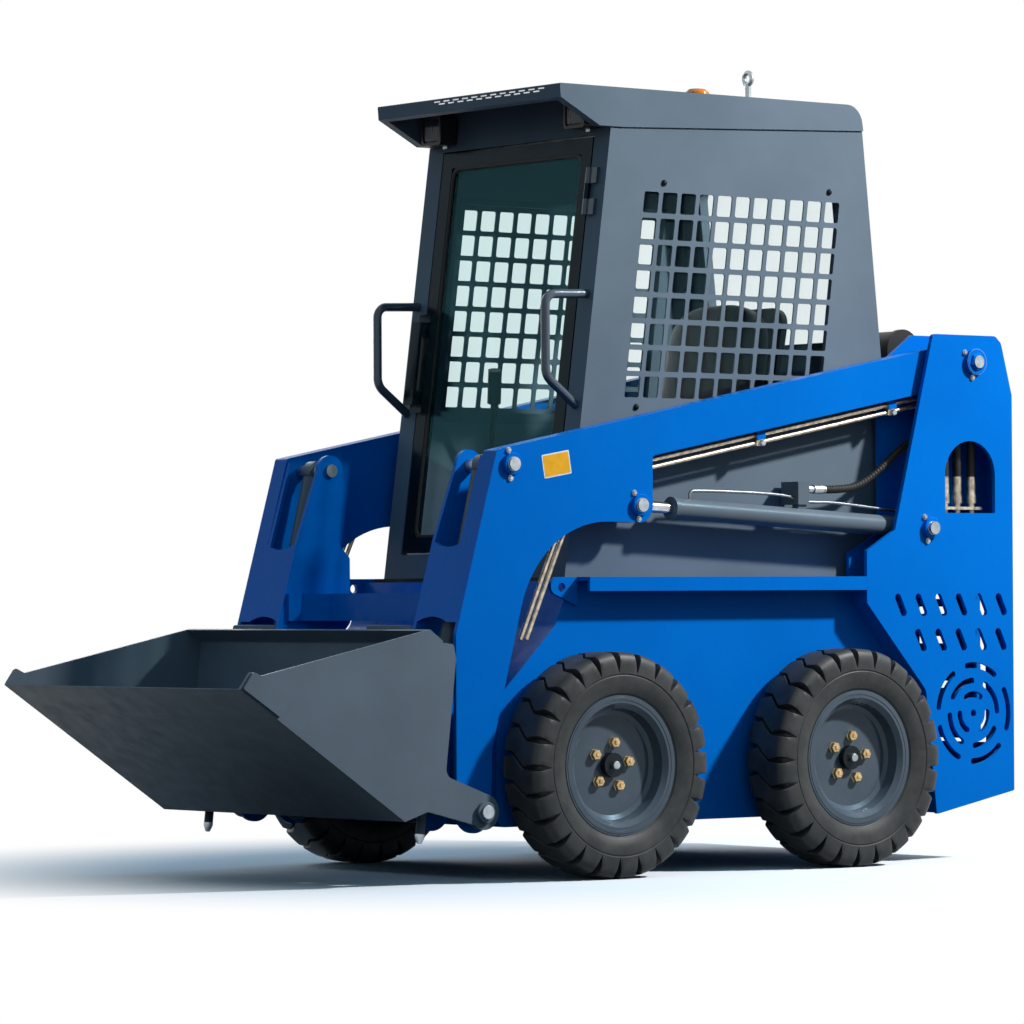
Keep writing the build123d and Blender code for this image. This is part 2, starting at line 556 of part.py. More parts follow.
with BuildPart() as hinges:
    for z in HINGE_HEIGHTS:
        third = HINGE_LENGTH / 3
        for centre in (z - third, z + third):
            ends = (centre - third / 2, centre + third / 2)
            bar(hinge_point(ends[0]), hinge_point(ends[1]), HINGE_RADIUS)
            plate(leaning(*ends, HINGE_SETBACK, -RUNNING_FIT), HINGE_Y, HINGE_Y + 34)
        bar(hinge_point(z - third), hinge_point(z + third), HINGE_PIN_RADIUS)
save(hinges, "door_hinges")

LAMP_Y = CAB_HALF_WIDTH - 83
LAMP_Z = 2018
LAMP_X = FRONT_AXLE_X - 112
with BuildPart() as lamps:
    for _, out in SIDES:
        y = out * LAMP_Y
        with BuildSketch(Plane.YZ.offset(LAMP_X - 30)):
            with Locations((y, LAMP_Z)):
                RectangleRounded(86, 80, 10)
        extrude(amount=55)
        with BuildSketch(Plane.YZ.offset(LAMP_X + 20)):
            with Locations((y, LAMP_Z)):
                RectangleRounded(72, 66, 8)
        extrude(amount=5, mode=Mode.SUBTRACT)
        block(LAMP_X - 16, LAMP_X + 8, y - 14, y + 14, LAMP_Z + 32, ROOF_TOP_Z - ROOF_SKIN - RUNNING_FIT)
save(lamps, "work_lights")

BEACON_X = FRONT_AXLE_X - 785
with BuildPart() as beacon:
    with BuildSketch(Plane.XZ):
        with BuildLine():
            base = ROOF_TOP_Z + RUNNING_FIT
            Polyline((0, base), (46, base), (46, base + 12), (40, base + 14), (38, base + 42),
                     (34, base + 54), (24, base + 63), (0, base + 66), close=True)
        make_face()
    revolve(axis=Axis.Z)
beacon.part.locate(Location((BEACON_X, 0, 0)))
save(beacon, "beacon")

EYE_X = FRONT_AXLE_X - 973
EYE_RING_Z = ROOF_TOP_Z + 104
with BuildPart() as eye:
    with BuildSketch(Plane.XY.offset(ROOF_TOP_Z + RUNNING_FIT)):
        with Locations((EYE_X, 0)):
            Circle(24)
    extrude(amount=8)
    bar((EYE_X, 0, ROOF_TOP_Z + 4), (EYE_X, 0, EYE_RING_Z - 14), 9)
    with BuildSketch(Plane(origin=(EYE_X, -16.5, EYE_RING_Z), z_dir=(0, 0, 1))):
        Circle(7)
    revolve(axis=Axis((EYE_X, 0, EYE_RING_Z), (1, 0, 0)))
save(eye, "lifting_eye")

SEAT_X = FRONT_AXLE_X - 640
SEAT_BOX_TOP_Z = 1030
SEAT_HALF_WIDTH = 215
LEVER_BOX_WIDTH = 50
SEAT_BOX_HALF_WIDTH = CAB_HALF_WIDTH - CAB_WALL - LEVER_BOX_WIDTH - 15
with BuildPart() as seat_base:
    block(SEAT_X - 330, SEAT_X + 190, -SEAT_BOX_HALF_WIDTH, SEAT_BOX_HALF_WIDTH,
          LEDGE_TOP_Z + RUNNING_FIT, SEAT_BOX_TOP_Z)
save(seat_base, "seat_box")
with BuildPart() as seat:
    low = SEAT_BOX_TOP_Z + RUNNING_FIT
    plate((
        (SEAT_X - 240, low, 10), (SEAT_X + 200, low, 20), (SEAT_X + 225, low + 90, 40),
        (SEAT_X - 120, low + 60, 50), (SEAT_X - 205, low + 530, 35), (SEAT_X - 300, low + 530, 30),
    ), -SEAT_HALF_WIDTH, SEAT_HALF_WIDTH)
save(seat, "seat")

LEVER_X = FRONT_AXLE_X - 300
LEVER_BOX_TOP_Z = 1080
with BuildPart() as levers:
    for _, out in SIDES:
        far = CAB_HALF_WIDTH - CAB_WALL - 5
        block(LEVER_X - 150, LEVER_X + 50, out * (far - LEVER_BOX_WIDTH), out * far,
              LEDGE_TOP_Z + RUNNING_FIT, LEVER_BOX_TOP_Z)
        bar((LEVER_X, out * (far - 30), LEVER_BOX_TOP_Z - 20),
            (LEVER_X + 40, out * (far - 105), LEVER_BOX_TOP_Z + 210), 9)
        bar((LEVER_X + 36, out * (far - 98), LEVER_BOX_TOP_Z + 190),
            (LEVER_X + 52, out * (far - 124), LEVER_BOX_TOP_Z + 280), 19)
save(levers, "control_levers")

# ---- behind the cab: engine, hood and the hoses in the towers ----
ENGINE_X = FRONT_AXLE_X - 1180
with BuildPart() as engine:
    block(ENGINE_X - 220, ENGINE_X + 250, -190, 190, 300, 720)
    for _, out in SIDES:
        block(ENGINE_X, ENGINE_X + 250, out * 120, out * 170, TUB_BOTTOM_Z + SHEET + RUNNING_FIT, 300)
save(engine, "engine_block")

HOOD_Z = 1300
with BuildPart() as hood:
    half = TOWER_INNER_Y - RUNNING_FIT
    plate((
        (CAB_REAR_X - 10, HOOD_Z, 0), (TAIL_X + 30, HOOD_Z, 30), (TAIL_X + 30, HOOD_Z - 60, 0),
        (TAIL_X + 40, HOOD_Z - 60, 0), (TAIL_X + 40, HOOD_Z - SHEET, 20),
        (CAB_REAR_X - 10, HOOD_Z - SHEET, 0),
    ), -half, half)
save(hood, "engine_hood")

AIR_CLEANER = (FRONT_AXLE_X - 1252, HOOD_Z + 116, 56)     # centre's x and z, radius
with BuildPart() as air_cleaner:
    x, z, radius = AIR_CLEANER
    disc(x, z, radius, 120, 318)
    disc(x, z, radius + 4, 318, 334)
    block(x - 26, x + 26, 150, 290, HOOD_Z + RUNNING_FIT, z - radius + 16)
save(air_cleaner, "air_cleaner")

# hoses behind each tower's arched window: up from a bracket, then in through the inner plate
HOSE_RADIUS = 12
HOSE_Y = TOWER_INNER_Y + 53
HOSE_SPOTS = ((WINDOW_X + 49, 1205), (WINDOW_X + 2, 1222), (WINDOW_X - 52, 1212))   # x and top z
BRACKET_Z = 978
FERRULE_TOP_Z = 1062
with BuildPart() as hoses:
    for _, out in SIDES:
        wall = out * (TOWER_INNER_Y + PLATE + RUNNING_FIT)
        for x, top in HOSE_SPOTS:
            tube_run(((x, out * HOSE_Y, FERRULE_TOP_Z + RUNNING_FIT), (x, out * HOSE_Y, top), (x, wall, top)),
                     (26,), HOSE_RADIUS)
save(hoses, "tower_hoses")
with BuildPart() as brackets:
    for _, out in SIDES:
        wall = out * (TOWER_INNER_Y + PLATE + RUNNING_FIT)
        block(WINDOW_X - 75, WINDOW_X + 72, wall, out * (HOSE_Y + 20), BRACKET_Z - 8, BRACKET_Z)
        for x, _ in HOSE_SPOTS:
            bar((x, out * HOSE_Y, BRACKET_Z - 34), (x, out * HOSE_Y, BRACKET_Z + 10), 10)
            bar((x, out * HOSE_Y, BRACKET_Z + 10), (x, out * HOSE_Y, BRACKET_Z + 34), 14)
            bar((x, out * HOSE_Y, BRACKET_Z + 34), (x, out * HOSE_Y, FERRULE_TOP_Z), 12.5)
save(brackets, "hose_brackets")

# ---- rear door between the towers, hinged on the right ----
REAR_HINGE_X = TAIL_X + 9
REAR_HALF_WIDTH = TOWER_INNER_Y - 24
REAR_DOOR = (TAIL_X + 4, TAIL_X + 30, 330, 1226)      # outer face, inner face, bottom, top
REAR_HINGE_Y = -REAR_HALF_WIDTH - 9
REAR_HINGE_HEIGHTS = (470, 1090)
REAR_KNUCKLE = 50
LOUVRE_PITCH = 42
LOUVRE_ROWS = 13
with BuildPart() as rear_door:
    outer_x, inner_x, low, high = REAR_DOOR
    block(outer_x, inner_x, -REAR_HALF_WIDTH, REAR_HALF_WIDTH, low, high)
    block(outer_x + 3, inner_x + 1, 30 - REAR_HALF_WIDTH, REAR_HALF_WIDTH - 30, low + 30, high - 30,
          Mode.SUBTRACT)
    with BuildSketch(Plane.YZ.offset(outer_x - 1)):
        with Locations(*[(0, 480 + LOUVRE_PITCH * n) for n in range(LOUVRE_ROWS)]):
            SlotOverall(2 * (REAR_HALF_WIDTH - 125), 20)
    extrude(amount=10, mode=Mode.SUBTRACT)
    for z in REAR_HINGE_HEIGHTS:
        bar((REAR_HINGE_X, REAR_HINGE_Y, z), (REAR_HINGE_X, REAR_HINGE_Y, z + REAR_KNUCKLE), 7)
        block(REAR_HINGE_X - 4, REAR_HINGE_X + 4, REAR_HINGE_Y, -REAR_HALF_WIDTH, z, z + REAR_KNUCKLE)
        bar((REAR_HINGE_X, REAR_HINGE_Y, z), (REAR_HINGE_X, REAR_HINGE_Y, z + REAR_KNUCKLE),
            HINGE_PIN_RADIUS + RUNNING_FIT, Mode.SUBTRACT)
    block(outer_x - 4, outer_x, REAR_HALF_WIDTH - 70, REAR_HALF_WIDTH - 30, 740, 860)
save(rear_door, "rear_door")

with BuildPart() as rear_frame:
    lip_x = TAIL_X + 8 + RUNNING_FIT
    plate((
        (TUB_REAR_X, TUB_BOTTOM_Z, 0), (lip_x, TAIL_BOTTOM_Z + 2, 0),
        (lip_x, 320, 4), (lip_x + SHEET, 320, 4), (lip_x + SHEET, TAIL_BOTTOM_Z + 14, 0),
        (TUB_REAR_X, TUB_BOTTOM_Z + SHEET, 0),
    ), -TUB_HALF_WIDTH, TUB_HALF_WIDTH)
    for z in REAR_HINGE_HEIGHTS:
        low = z + REAR_KNUCKLE + KNUCKLE_GAP
        bar((REAR_HINGE_X, REAR_HINGE_Y, low), (REAR_HINGE_X, REAR_HINGE_Y, low + REAR_KNUCKLE), 7)
        bar((REAR_HINGE_X, REAR_HINGE_Y, z), (REAR_HINGE_X, REAR_HINGE_Y, low), HINGE_PIN_RADIUS)
        block(REAR_HINGE_X - 4, REAR_HINGE_X + 4, REAR_HINGE_Y, RUNNING_FIT - TOWER_INNER_Y,
              low, low + REAR_KNUCKLE)
save(rear_frame, "rear_frame")

# ---- loader arms ----
ARM_END_RADIUS = 60
TOE_RADIUS = 56
LOBE_RADIUS = 46
BEAM_TOP = (FRONT_AXLE_X + 317, 1113)
BEAM_UNDER = (LIFT_ROD_X - LOBE_RADIUS, 1105)
KNEE_Z = 640                       # where the arm's front edge turns upright
ARCH_CORNER = (FRONT_AXLE_X + 178, 935)
ARCH_RADIUS = 300
HEEL = (FRONT_AXLE_X + 338, 340)
TOE_FRONT_X = BUCKET_PIN_X + TOE_RADIUS
TOE_REAR_X = BUCKET_PIN_X - TOE_RADIUS
UPPER_OUTLINE = (
    (PIVOT_X + 11, PIVOT_Z - ARM_END_RADIUS + 1, 0), (*BEAM_UNDER, 12),
    (BEAM_UNDER[0], LIFT_ROD_Z, 0), (LIFT_ROD_X, LIFT_ROD_Z - LOBE_RADIUS, 0),
    (*ARCH_CORNER, ARCH_RADIUS),
)
TOP_EDGE = ((*BEAM_TOP, 8), (PIVOT_X + 12, PIVOT_Z + ARM_END_RADIUS - 1, 0))
SKIN_OUTLINE = (
    *UPPER_OUTLINE, (*HEEL, 120), (TOE_REAR_X, BUCKET_PIN_Z, 0), (TOE_FRONT_X, BUCKET_PIN_Z, 0),
    (TOE_FRONT_X, KNEE_Z, 60), *TOP_EDGE,
)


def front_edge_x(z):
    """Arm's front edge between the knee and the top corner."""
    return TOE_FRONT_X - (z - KNEE_Z) * (TOE_FRONT_X - BEAM_TOP[0]) / (BEAM_TOP[1] - KNEE_Z)


def beam_under_z(x):
    """Underside of the beam behind the lift pin."""
    slope = (PIVOT_Z - ARM_END_RADIUS + 1 - BEAM_UNDER[1]) / (PIVOT_X + 11 - BEAM_UNDER[0])
    return BEAM_UNDER[1] + slope * (x - BEAM_UNDER[0])


WEB_FOOT_Z = 690
WEB_OUTLINE = (
    *UPPER_OUTLINE, (FRONT_AXLE_X + 244, WEB_FOOT_Z, 0), (front_edge_x(WEB_FOOT_Z), WEB_FOOT_Z, 0),
    *TOP_EDGE,
)
CLEVIS_OUTLINE = (
    (TILT_TOP_X - 42, TILT_TOP_Z, 0), (TILT_TOP_X - 45, 1030, 20), (FRONT_AXLE_X + 240, 960, 40),
    (FRONT_AXLE_X + 238, 872, 20), (FRONT_AXLE_X + 206, 842, 12), (FRONT_AXLE_X + 205, 666, 12),
    (HEEL[0] - 40, 560, 60), (*HEEL, 60), (TOE_REAR_X, BUCKET_PIN_Z, 0),
    (TOE_FRONT_X, BUCKET_PIN_Z, 0), (TOE_FRONT_X, KNEE_Z, 60), (front_edge_x(880), 880, 40),
    (TILT_TOP_X + 40, TILT_TOP_Z + 6, 0),
)
FLANGE = 10
COVER_LOW_Z = 670
COVER_TOP_Z = 878
SCALLOP_RADIUS = 150               # shallow curve of the cover's top and bottom edges
FRONT_FLANGE = 15                  # how far the front strip reaches inboard of the box
BOSS_RADIUS = 34
for side, out in SIDES:
    outer = out * ARM_OUTER_Y
    skin = out * (ARM_OUTER_Y - PLATE)
    web_in = out * (ARM_OUTER_Y - ARM_BOX_WIDTH)
    web_out = out * (ARM_OUTER_Y - ARM_BOX_WIDTH + PLATE)
    clevis_in = out * CLEVIS_INNER_Y
    clevis_out = out * (CLEVIS_INNER_Y + PLATE)
    with BuildPart() as arm:
        # front cover with its scalloped edges
        plate((
            (front_edge_x(COVER_TOP_Z), COVER_TOP_Z, 0),
            (front_edge_x(COVER_LOW_Z), COVER_LOW_Z, 0),
            (front_edge_x(COVER_LOW_Z) - FLANGE, COVER_LOW_Z, 0),
            (front_edge_x(COVER_TOP_Z) - FLANGE, COVER_TOP_Z, 0),
        ), clevis_out, web_in)
        with BuildSketch(Plane.YZ.offset(front_edge_x(COVER_LOW_Z) - 100)):
            rise = SCALLOP_RADIUS - 14
            with Locations((out * TILT_Y, COVER_TOP_Z + rise), (out * TILT_Y, COVER_LOW_Z - rise)):
                Circle(SCALLOP_RADIUS)
        extrude(amount=200, mode=Mode.SUBTRACT)
        plate(SKIN_OUTLINE, skin, outer)
        disc(BUCKET_PIN_X, BUCKET_PIN_Z, TOE_RADIUS, skin, outer)
        plate(WEB_OUTLINE, web_in, skin)
        # the box is open below and behind the lift pin, where the rod's eye swings
        plate((
            (PIVOT_X + 70, beam_under_z(PIVOT_X + 70) + FLANGE, 0),
            (BEAM_UNDER[0] + 5, BEAM_UNDER[1] + FLANGE, 0), (BEAM_UNDER[0] - 40, 1060, 0),
            (BEAM_UNDER[0] - 40, 860, 0), (FRONT_AXLE_X + 60, 780, 0),
            (FRONT_AXLE_X + 200, WEB_FOOT_Z - 20, 0),
            (front_edge_x(WEB_FOOT_Z) - FLANGE, WEB_FOOT_Z - 20, 0),
            (BEAM_TOP[0] - FLANGE, BEAM_TOP[1] - FLANGE, 0), (PIVOT_X + 70, PIVOT_Z + 38, 0),
        ), web_out, skin, Mode.SUBTRACT)
        disc(PIVOT_X, PIVOT_Z, ARM_END_RADIUS, web_in, outer)
        disc(LIFT_ROD_X, LIFT_ROD_Z, LOBE_RADIUS, web_in, web_out)
        disc(LIFT_ROD_X, LIFT_ROD_Z, LOBE_RADIUS, skin, outer)
        disc(PIVOT_X, PIVOT_Z, PIN_RADIUS + RUNNING_FIT, web_in, outer, Mode.SUBTRACT)
        # clevis plate, front strip, and bosses at the bucket pin
        plate(CLEVIS_OUTLINE, clevis_in, clevis_out)
        disc(TILT_TOP_X, TILT_TOP_Z, 42, clevis_in, clevis_out)
        disc(BUCKET_PIN_X, BUCKET_PIN_Z, TOE_RADIUS, clevis_in, clevis_out)
        plate((
            (front_edge_x(COVER_TOP_Z - 20), COVER_TOP_Z - 20, 0), (BEAM_TOP[0], BEAM_TOP[1] - 12, 0),
            (BEAM_TOP[0] - FLANGE, BEAM_TOP[1] - 12, 0),
            (front_edge_x(COVER_TOP_Z - 20) - FLANGE, COVER_TOP_Z - 20, 0),
        ), web_in - out * FRONT_FLANGE, web_in)
        plate((
            (front_edge_x(WEB_FOOT_Z), WEB_FOOT_Z, 0), (front_edge_x(COVER_LOW_Z), COVER_LOW_Z, 0),
            (front_edge_x(COVER_LOW_Z) - FLANGE, COVER_LOW_Z, 0),
            (front_edge_x(WEB_FOOT_Z) - FLANGE, WEB_FOOT_Z, 0),
        ), web_in, skin)
        disc(BUCKET_PIN_X, BUCKET_PIN_Z, BOSS_RADIUS, outer, outer + out * 24)
        disc(BUCKET_PIN_X, BUCKET_PIN_Z, BOSS_RADIUS, clevis_in - out * 6, clevis_in)
        disc(BUCKET_PIN_X, BUCKET_PIN_Z, PIN_RADIUS + RUNNING_FIT, clevis_in - out * 6,
             outer + out * 24, Mode.SUBTRACT)
        disc(TILT_TOP_X, TILT_TOP_Z, PIN_RADIUS + RUNNING_FIT, clevis_in, outer, Mode.SUBTRACT)
    save(arm, f"arm_{side}")

CROSS_FRONT_X = FRONT_AXLE_X + 322
CROSS_DEPTH = 100
CROSS_LOW_Z = 672
CROSS_TOP_Z = 745
WING_FLARE = 62
with BuildPart() as cross:
    block(CROSS_FRONT_X - CROSS_DEPTH, CROSS_FRONT_X, -CLEVIS_INNER_Y, CLEVIS_INNER_Y,
          CROSS_LOW_Z, CROSS_TOP_Z)
    # each end flares forward and lies along the clevis plate
    for _, out in SIDES:
        reach = front_edge_x(CROSS_TOP_Z) - 6
        with BuildSketch(Plane.XY.offset(CROSS_LOW_Z)):
            with BuildLine():
                Polyline((CROSS_FRONT_X, out * (CLEVIS_INNER_Y - WING_FLARE)),
                         (CROSS_FRONT_X + WING_FLARE - SHEET, out * (CLEVIS_INNER_Y - SHEET)),
                         (reach, out * (CLEVIS_INNER_Y - SHEET)), (reach, out * CLEVIS_INNER_Y),
                         (CROSS_FRONT_X, out * CLEVIS_INNER_Y), close=True)
            make_face()
        extrude(amount=CROSS_TOP_Z - CROSS_LOW_Z)
save(cross, "arm_crossmember")

with BuildPart() as arm_pins:
    for _, out in SIDES:
        face = out * (ARM_OUTER_Y + RUNNING_FIT)
        disc(TILT_TOP_X, TILT_TOP_Z, PIN_RADIUS, out * (CLEVIS_INNER_Y - 8), out * (ARM_OUTER_Y + 18))
        disc(TILT_TOP_X, TILT_TOP_Z, HEAD_RADIUS, face, face + out * 11)
        disc(LIFT_ROD_X, LIFT_ROD_Z, HEAD_RADIUS, face, face + out * 11)
        disc(LIFT_ROD_X, LIFT_ROD_Z, PIN_RADIUS, face + out * 11, out * (ARM_OUTER_Y + 18))
save(arm_pins, "arm_pins")

PIPE_RADIUS = 6
PIPE_Y = ARM_OUTER_Y - ARM_BOX_WIDTH / 2
PIPE_GAP = 20
CLAMP_STATIONS = (FRONT_AXLE_X - 600, FRONT_AXLE_X - 1080)
with BuildPart() as pipes:
    for _, out in SIDES:
        for row in (0, 1):
            drop = 14 + row * PIPE_GAP
            rear_x = PIVOT_X + 170
            tube_run((
                (rear_x, out * PIPE_Y, beam_under_z(rear_x) - drop),
                (BEAM_UNDER[0] + 20, out * PIPE_Y, beam_under_z(BEAM_UNDER[0] + 20) - drop),
                (FRONT_AXLE_X + 22 - row * 8, out * PIPE_Y, 1040 - row * PIPE_GAP),
                (FRONT_AXLE_X + 110 - row * PIPE_GAP, out * PIPE_Y, 868),
                (FRONT_AXLE_X + 222 - row * PIPE_GAP, out * PIPE_Y, 622),
            ), (120, 70, 120), PIPE_RADIUS)
        for x in CLAMP_STATIONS:
            low = beam_under_z(x) - 14 - PIPE_GAP - PIPE_RADIUS - 3
            plate((
                (x - 14, beam_under_z(x - 14) - RUNNING_FIT, 0), (x + 14, beam_under_z(x + 14) - RUNNING_FIT, 0),
                (x + 14, low, 0), (x - 14, low, 0),
            ), out * (PIPE_Y - 10), out * (PIPE_Y + 10))
save(pipes, "arm_pipes")

# ---- bucket and coupler, drawn with the floor level and tipped back about the pin ----
TIP = radians(ROLL_BACK)
FLOOR_DROP = 158.5                 # floor below the bucket pin
LIP = ((BUCKET_REACH - FLOOR_DROP * sin(TIP)) / cos(TIP), -FLOOR_DROP)
BACK_LOW = (157.5, -99)
BACK_TOP = (357, 288)
TOP_FOLD_X = 407
FLOOR_REAR_X = 205
WRAP = ((LIP[0], LIP[1]), (FLOOR_REAR_X, -FLOOR_DROP), BACK_LOW, BACK_TOP, (TOP_FOLD_X, BACK_TOP[1] + 2))
BACK_LENGTH = hypot(BACK_TOP[0] - BACK_LOW[0], BACK_TOP[1] - BACK_LOW[1])
BACK_RUN = ((BACK_TOP[0] - BACK_LOW[0]) / BACK_LENGTH, (BACK_TOP[1] - BACK_LOW[1]) / BACK_LENGTH)
EDGE_WIDTH = 138
EDGE_THICKNESS = 12


def tipped(corners):
    """Corners of the level bucket, rolled back about its pin."""
    return [
        (BUCKET_PIN_X + x * cos(TIP) - z * sin(TIP), BUCKET_PIN_Z + x * sin(TIP) + z * cos(TIP), r)
        for x, z, r in corners
    ]


def behind_back(along, depth, radius=0):
    """Corner on the level bucket: so far up its back plate and so far behind it."""
    return (BACK_LOW[0] + along * BACK_RUN[0] - depth * BACK_RUN[1],
            BACK_LOW[1] + along * BACK_RUN[1] + depth * BACK_RUN[0], radius)


def inside_wrap(step):
    """Wrapper's corners moved inwards by a sheet's thickness, from the lip to the top fold."""
    floor_z = -FLOOR_DROP + step
    slope = hypot(FLOOR_REAR_X - BACK_LOW[0], BACK_LOW[1] + FLOOR_DROP)
    bevel = ((FLOOR_REAR_X - BACK_LOW[0]) / slope, (BACK_LOW[1] + FLOOR_DROP) / slope)
    heel_x = FLOOR_REAR_X + step * (1 - bevel[0]) / bevel[1]
    low = (BACK_LOW[0] + step * 1.07, BACK_LOW[1] + step * 0.2)
    top_z = BACK_TOP[1] - step
    top_x = low[0] + (top_z - low[1]) * BACK_RUN[0] / BACK_RUN[1]
    return (heel_x, floor_z), low, (top_x, top_z)


with BuildPart() as shell:
    sides = [(LIP[0], LIP[1], 0), (LIP[0] - 3, -105, 0), (LIP[0] - 30, -101, 0),
             (TOP_FOLD_X, BACK_TOP[1] + 2, 0), (*BACK_TOP, 0), (*BACK_LOW, 0),
             (FLOOR_REAR_X, -FLOOR_DROP, 0)]
    plate(tipped(sides), -BUCKET_HALF_WIDTH, BUCKET_HALF_WIDTH)
    heel, low, top = inside_wrap(BUCKET_SHEET)
    inner = BUCKET_HALF_WIDTH - BUCKET_SIDE
    plate(tipped([
        (LIP[0] + 90, heel[1], 0), (*heel, 20), (*low, 20), (*top, 6),
        (TOP_FOLD_X + 60, top[1], 0), (LIP[0] + 90, top[1], 0),
    ]), -inner, inner, Mode.SUBTRACT)
    # the cutting edge takes the floor's place at the lip
    plate(tipped([
        (LIP[0] + 20, LIP[1] - 20, 0), (LIP[0] - EDGE_WIDTH, LIP[1] - 20, 0),
        (LIP[0] - EDGE_WIDTH, LIP[1] + BUCKET_SHEET, 0), (LIP[0] + 20, LIP[1] + BUCKET_SHEET, 0),
    ]), -inner, inner, Mode.SUBTRACT)
save(shell, "bucket_shell")

with BuildPart() as edge:
    plate(tipped([
        (LIP[0], LIP[1] + 2, 0), (LIP[0], LIP[1], 0), (LIP[0] - EDGE_WIDTH + RUNNING_FIT, LIP[1], 0),
        (LIP[0] - EDGE_WIDTH + RUNNING_FIT, LIP[1] + EDGE_THICKNESS, 0),
        (LIP[0] - 26, LIP[1] + EDGE_THICKNESS, 0),
    ]), RUNNING_FIT - inner, inner - RUNNING_FIT)
    for _, out in SIDES:
        face = out * (BUCKET_HALF_WIDTH + RUNNING_FIT)
        plate(tipped([
            (LIP[0] - 3, LIP[1] + 4, 3), (LIP[0] - 5, LIP[1] + 56, 8), (LIP[0] - 30, LIP[1] + 60, 3),
            (LIP[0] - 139, LIP[1] + 63, 3), (LIP[0] - 137, LIP[1] + 6, 3),
        ]), face, face + out * 8)
save(edge, "bucket_edges")

EAR_Y = ARM_OUTER_Y + 28
INNER_EAR_Y = CLEVIS_INNER_Y - 10
LUG_HALF_GAP = 16
COUPLER_DEPTH = 50
EAR_RADIUS = 46
with BuildPart() as coupler:
    plate(tipped([behind_back(0, RUNNING_FIT), behind_back(BACK_LENGTH - 4, RUNNING_FIT),
                  behind_back(BACK_LENGTH - 4, PLATE), behind_back(0, PLATE)]),
          -BUCKET_HALF_WIDTH + 4, BUCKET_HALF_WIDTH - 4)
    for low, high in ((0, 14), (BACK_LENGTH - 18, BACK_LENGTH - 4)):
        plate(tipped([behind_back(low, PLATE), behind_back(high, PLATE),
                      behind_back(high, COUPLER_DEPTH), behind_back(low, COUPLER_DEPTH)]),
              -EAR_Y, EAR_Y)
    for _, out in SIDES:
        for near, far in ((EAR_Y, EAR_Y + 16), (INNER_EAR_Y, INNER_EAR_Y - PLATE)):
            plate(tipped([
                behind_back(0, PLATE - 1), behind_back(BACK_LENGTH - 4, PLATE - 1),
                behind_back(BACK_LENGTH - 4, COUPLER_DEPTH - 12, 10),
                behind_back(BACK_LENGTH - 40, COUPLER_DEPTH, 10), behind_back(96, COUPLER_DEPTH, 25),
                (8, EAR_RADIUS - 1, 0), (10, -EAR_RADIUS + 1, 0),
            ]), out * near, out * far)
            disc(BUCKET_PIN_X, BUCKET_PIN_Z, EAR_RADIUS, out * near, out * far)
        for y in (TILT_Y - LUG_HALF_GAP - PLATE, TILT_Y + LUG_HALF_GAP):
            plate(tipped([
                behind_back(120, PLATE - 1), behind_back(360, PLATE - 1), behind_back(330, PLATE + 12),
                (COUPLER_PIN[0] + 14, COUPLER_PIN[1] + 27, 0),
                (COUPLER_PIN[0] - 22, COUPLER_PIN[1] - 22, 0), behind_back(130, PLATE + 12),
            ]), out * y, out * (y + PLATE))
            x, z, _ = tipped([(*COUPLER_PIN, 0)])[0]
            disc(x, z, 30, out * y, out * (y + PLATE))
        # locking pins point down past the coupler's lower edge
        start, end = tipped([behind_back(14, 32), behind_back(-62, 32)])
        y = out * (ARM_OUTER_Y - 19)
        bar((start[0], y, start[1]), (end[0], y, end[1]), 12)
        disc(BUCKET_PIN_X, BUCKET_PIN_Z, PIN_RADIUS, out * (INNER_EAR_Y - PLATE - 6),
             out * (EAR_Y + 16 + 16))
        disc(BUCKET_PIN_X, BUCKET_PIN_Z, HEAD_RADIUS, out * (EAR_Y + 16), out * (EAR_Y + 16 + 10))
save(coupler, "coupler")

# ---- hydraulic cylinders: a bored barrel with its base eye, and a rod with its piston and eye ----
BORE_GAP = 0.4


def barrel(base, tip, y, radius, bore, rod, length, eye_radius, eye_width):
    """Cylinder barrel from its base eye towards the rod's eye, in the plane at y."""
    reach = hypot(tip[0] - base[0], tip[1] - base[1])
    along = ((tip[0] - base[0]) / reach, (tip[1] - base[1]) / reach)

    def at(distance):
        return (base[0] + along[0] * distance, y, base[1] + along[1] * distance)

    disc(*base, eye_radius, y - eye_width / 2, y + eye_width / 2)
    bar(at(eye_radius - 8), at(length), radius)
    bar(at(length), at(length + 14), radius + 3)
    bar(at(eye_radius + 22), at(length - 26), bore, Mode.SUBTRACT)
    bar(at(length - 27), at(length + 15), rod + BORE_GAP, Mode.SUBTRACT)
    disc(*base, PIN_RADIUS + RUNNING_FIT, y - eye_width / 2, y + eye_width / 2, Mode.SUBTRACT)


def piston_rod(base, tip, y, bore, rod, start, eye_radius, eye_width):
    """Rod from its piston, a given way along the barrel, to its eye, which keeps its own pin."""
    reach = hypot(tip[0] - base[0], tip[1] - base[1])
    along = ((tip[0] - base[0]) / reach, (tip[1] - base[1]) / reach)

    def at(distance):
        return (base[0] + along[0] * distance, y, base[1] + along[1] * distance)

    bar(at(start), at(start + 26), bore - BORE_GAP)
    bar(at(start + 26), at(reach - eye_radius + 6), rod)
    disc(*tip, eye_radius, y - eye_width / 2, y + eye_width / 2)


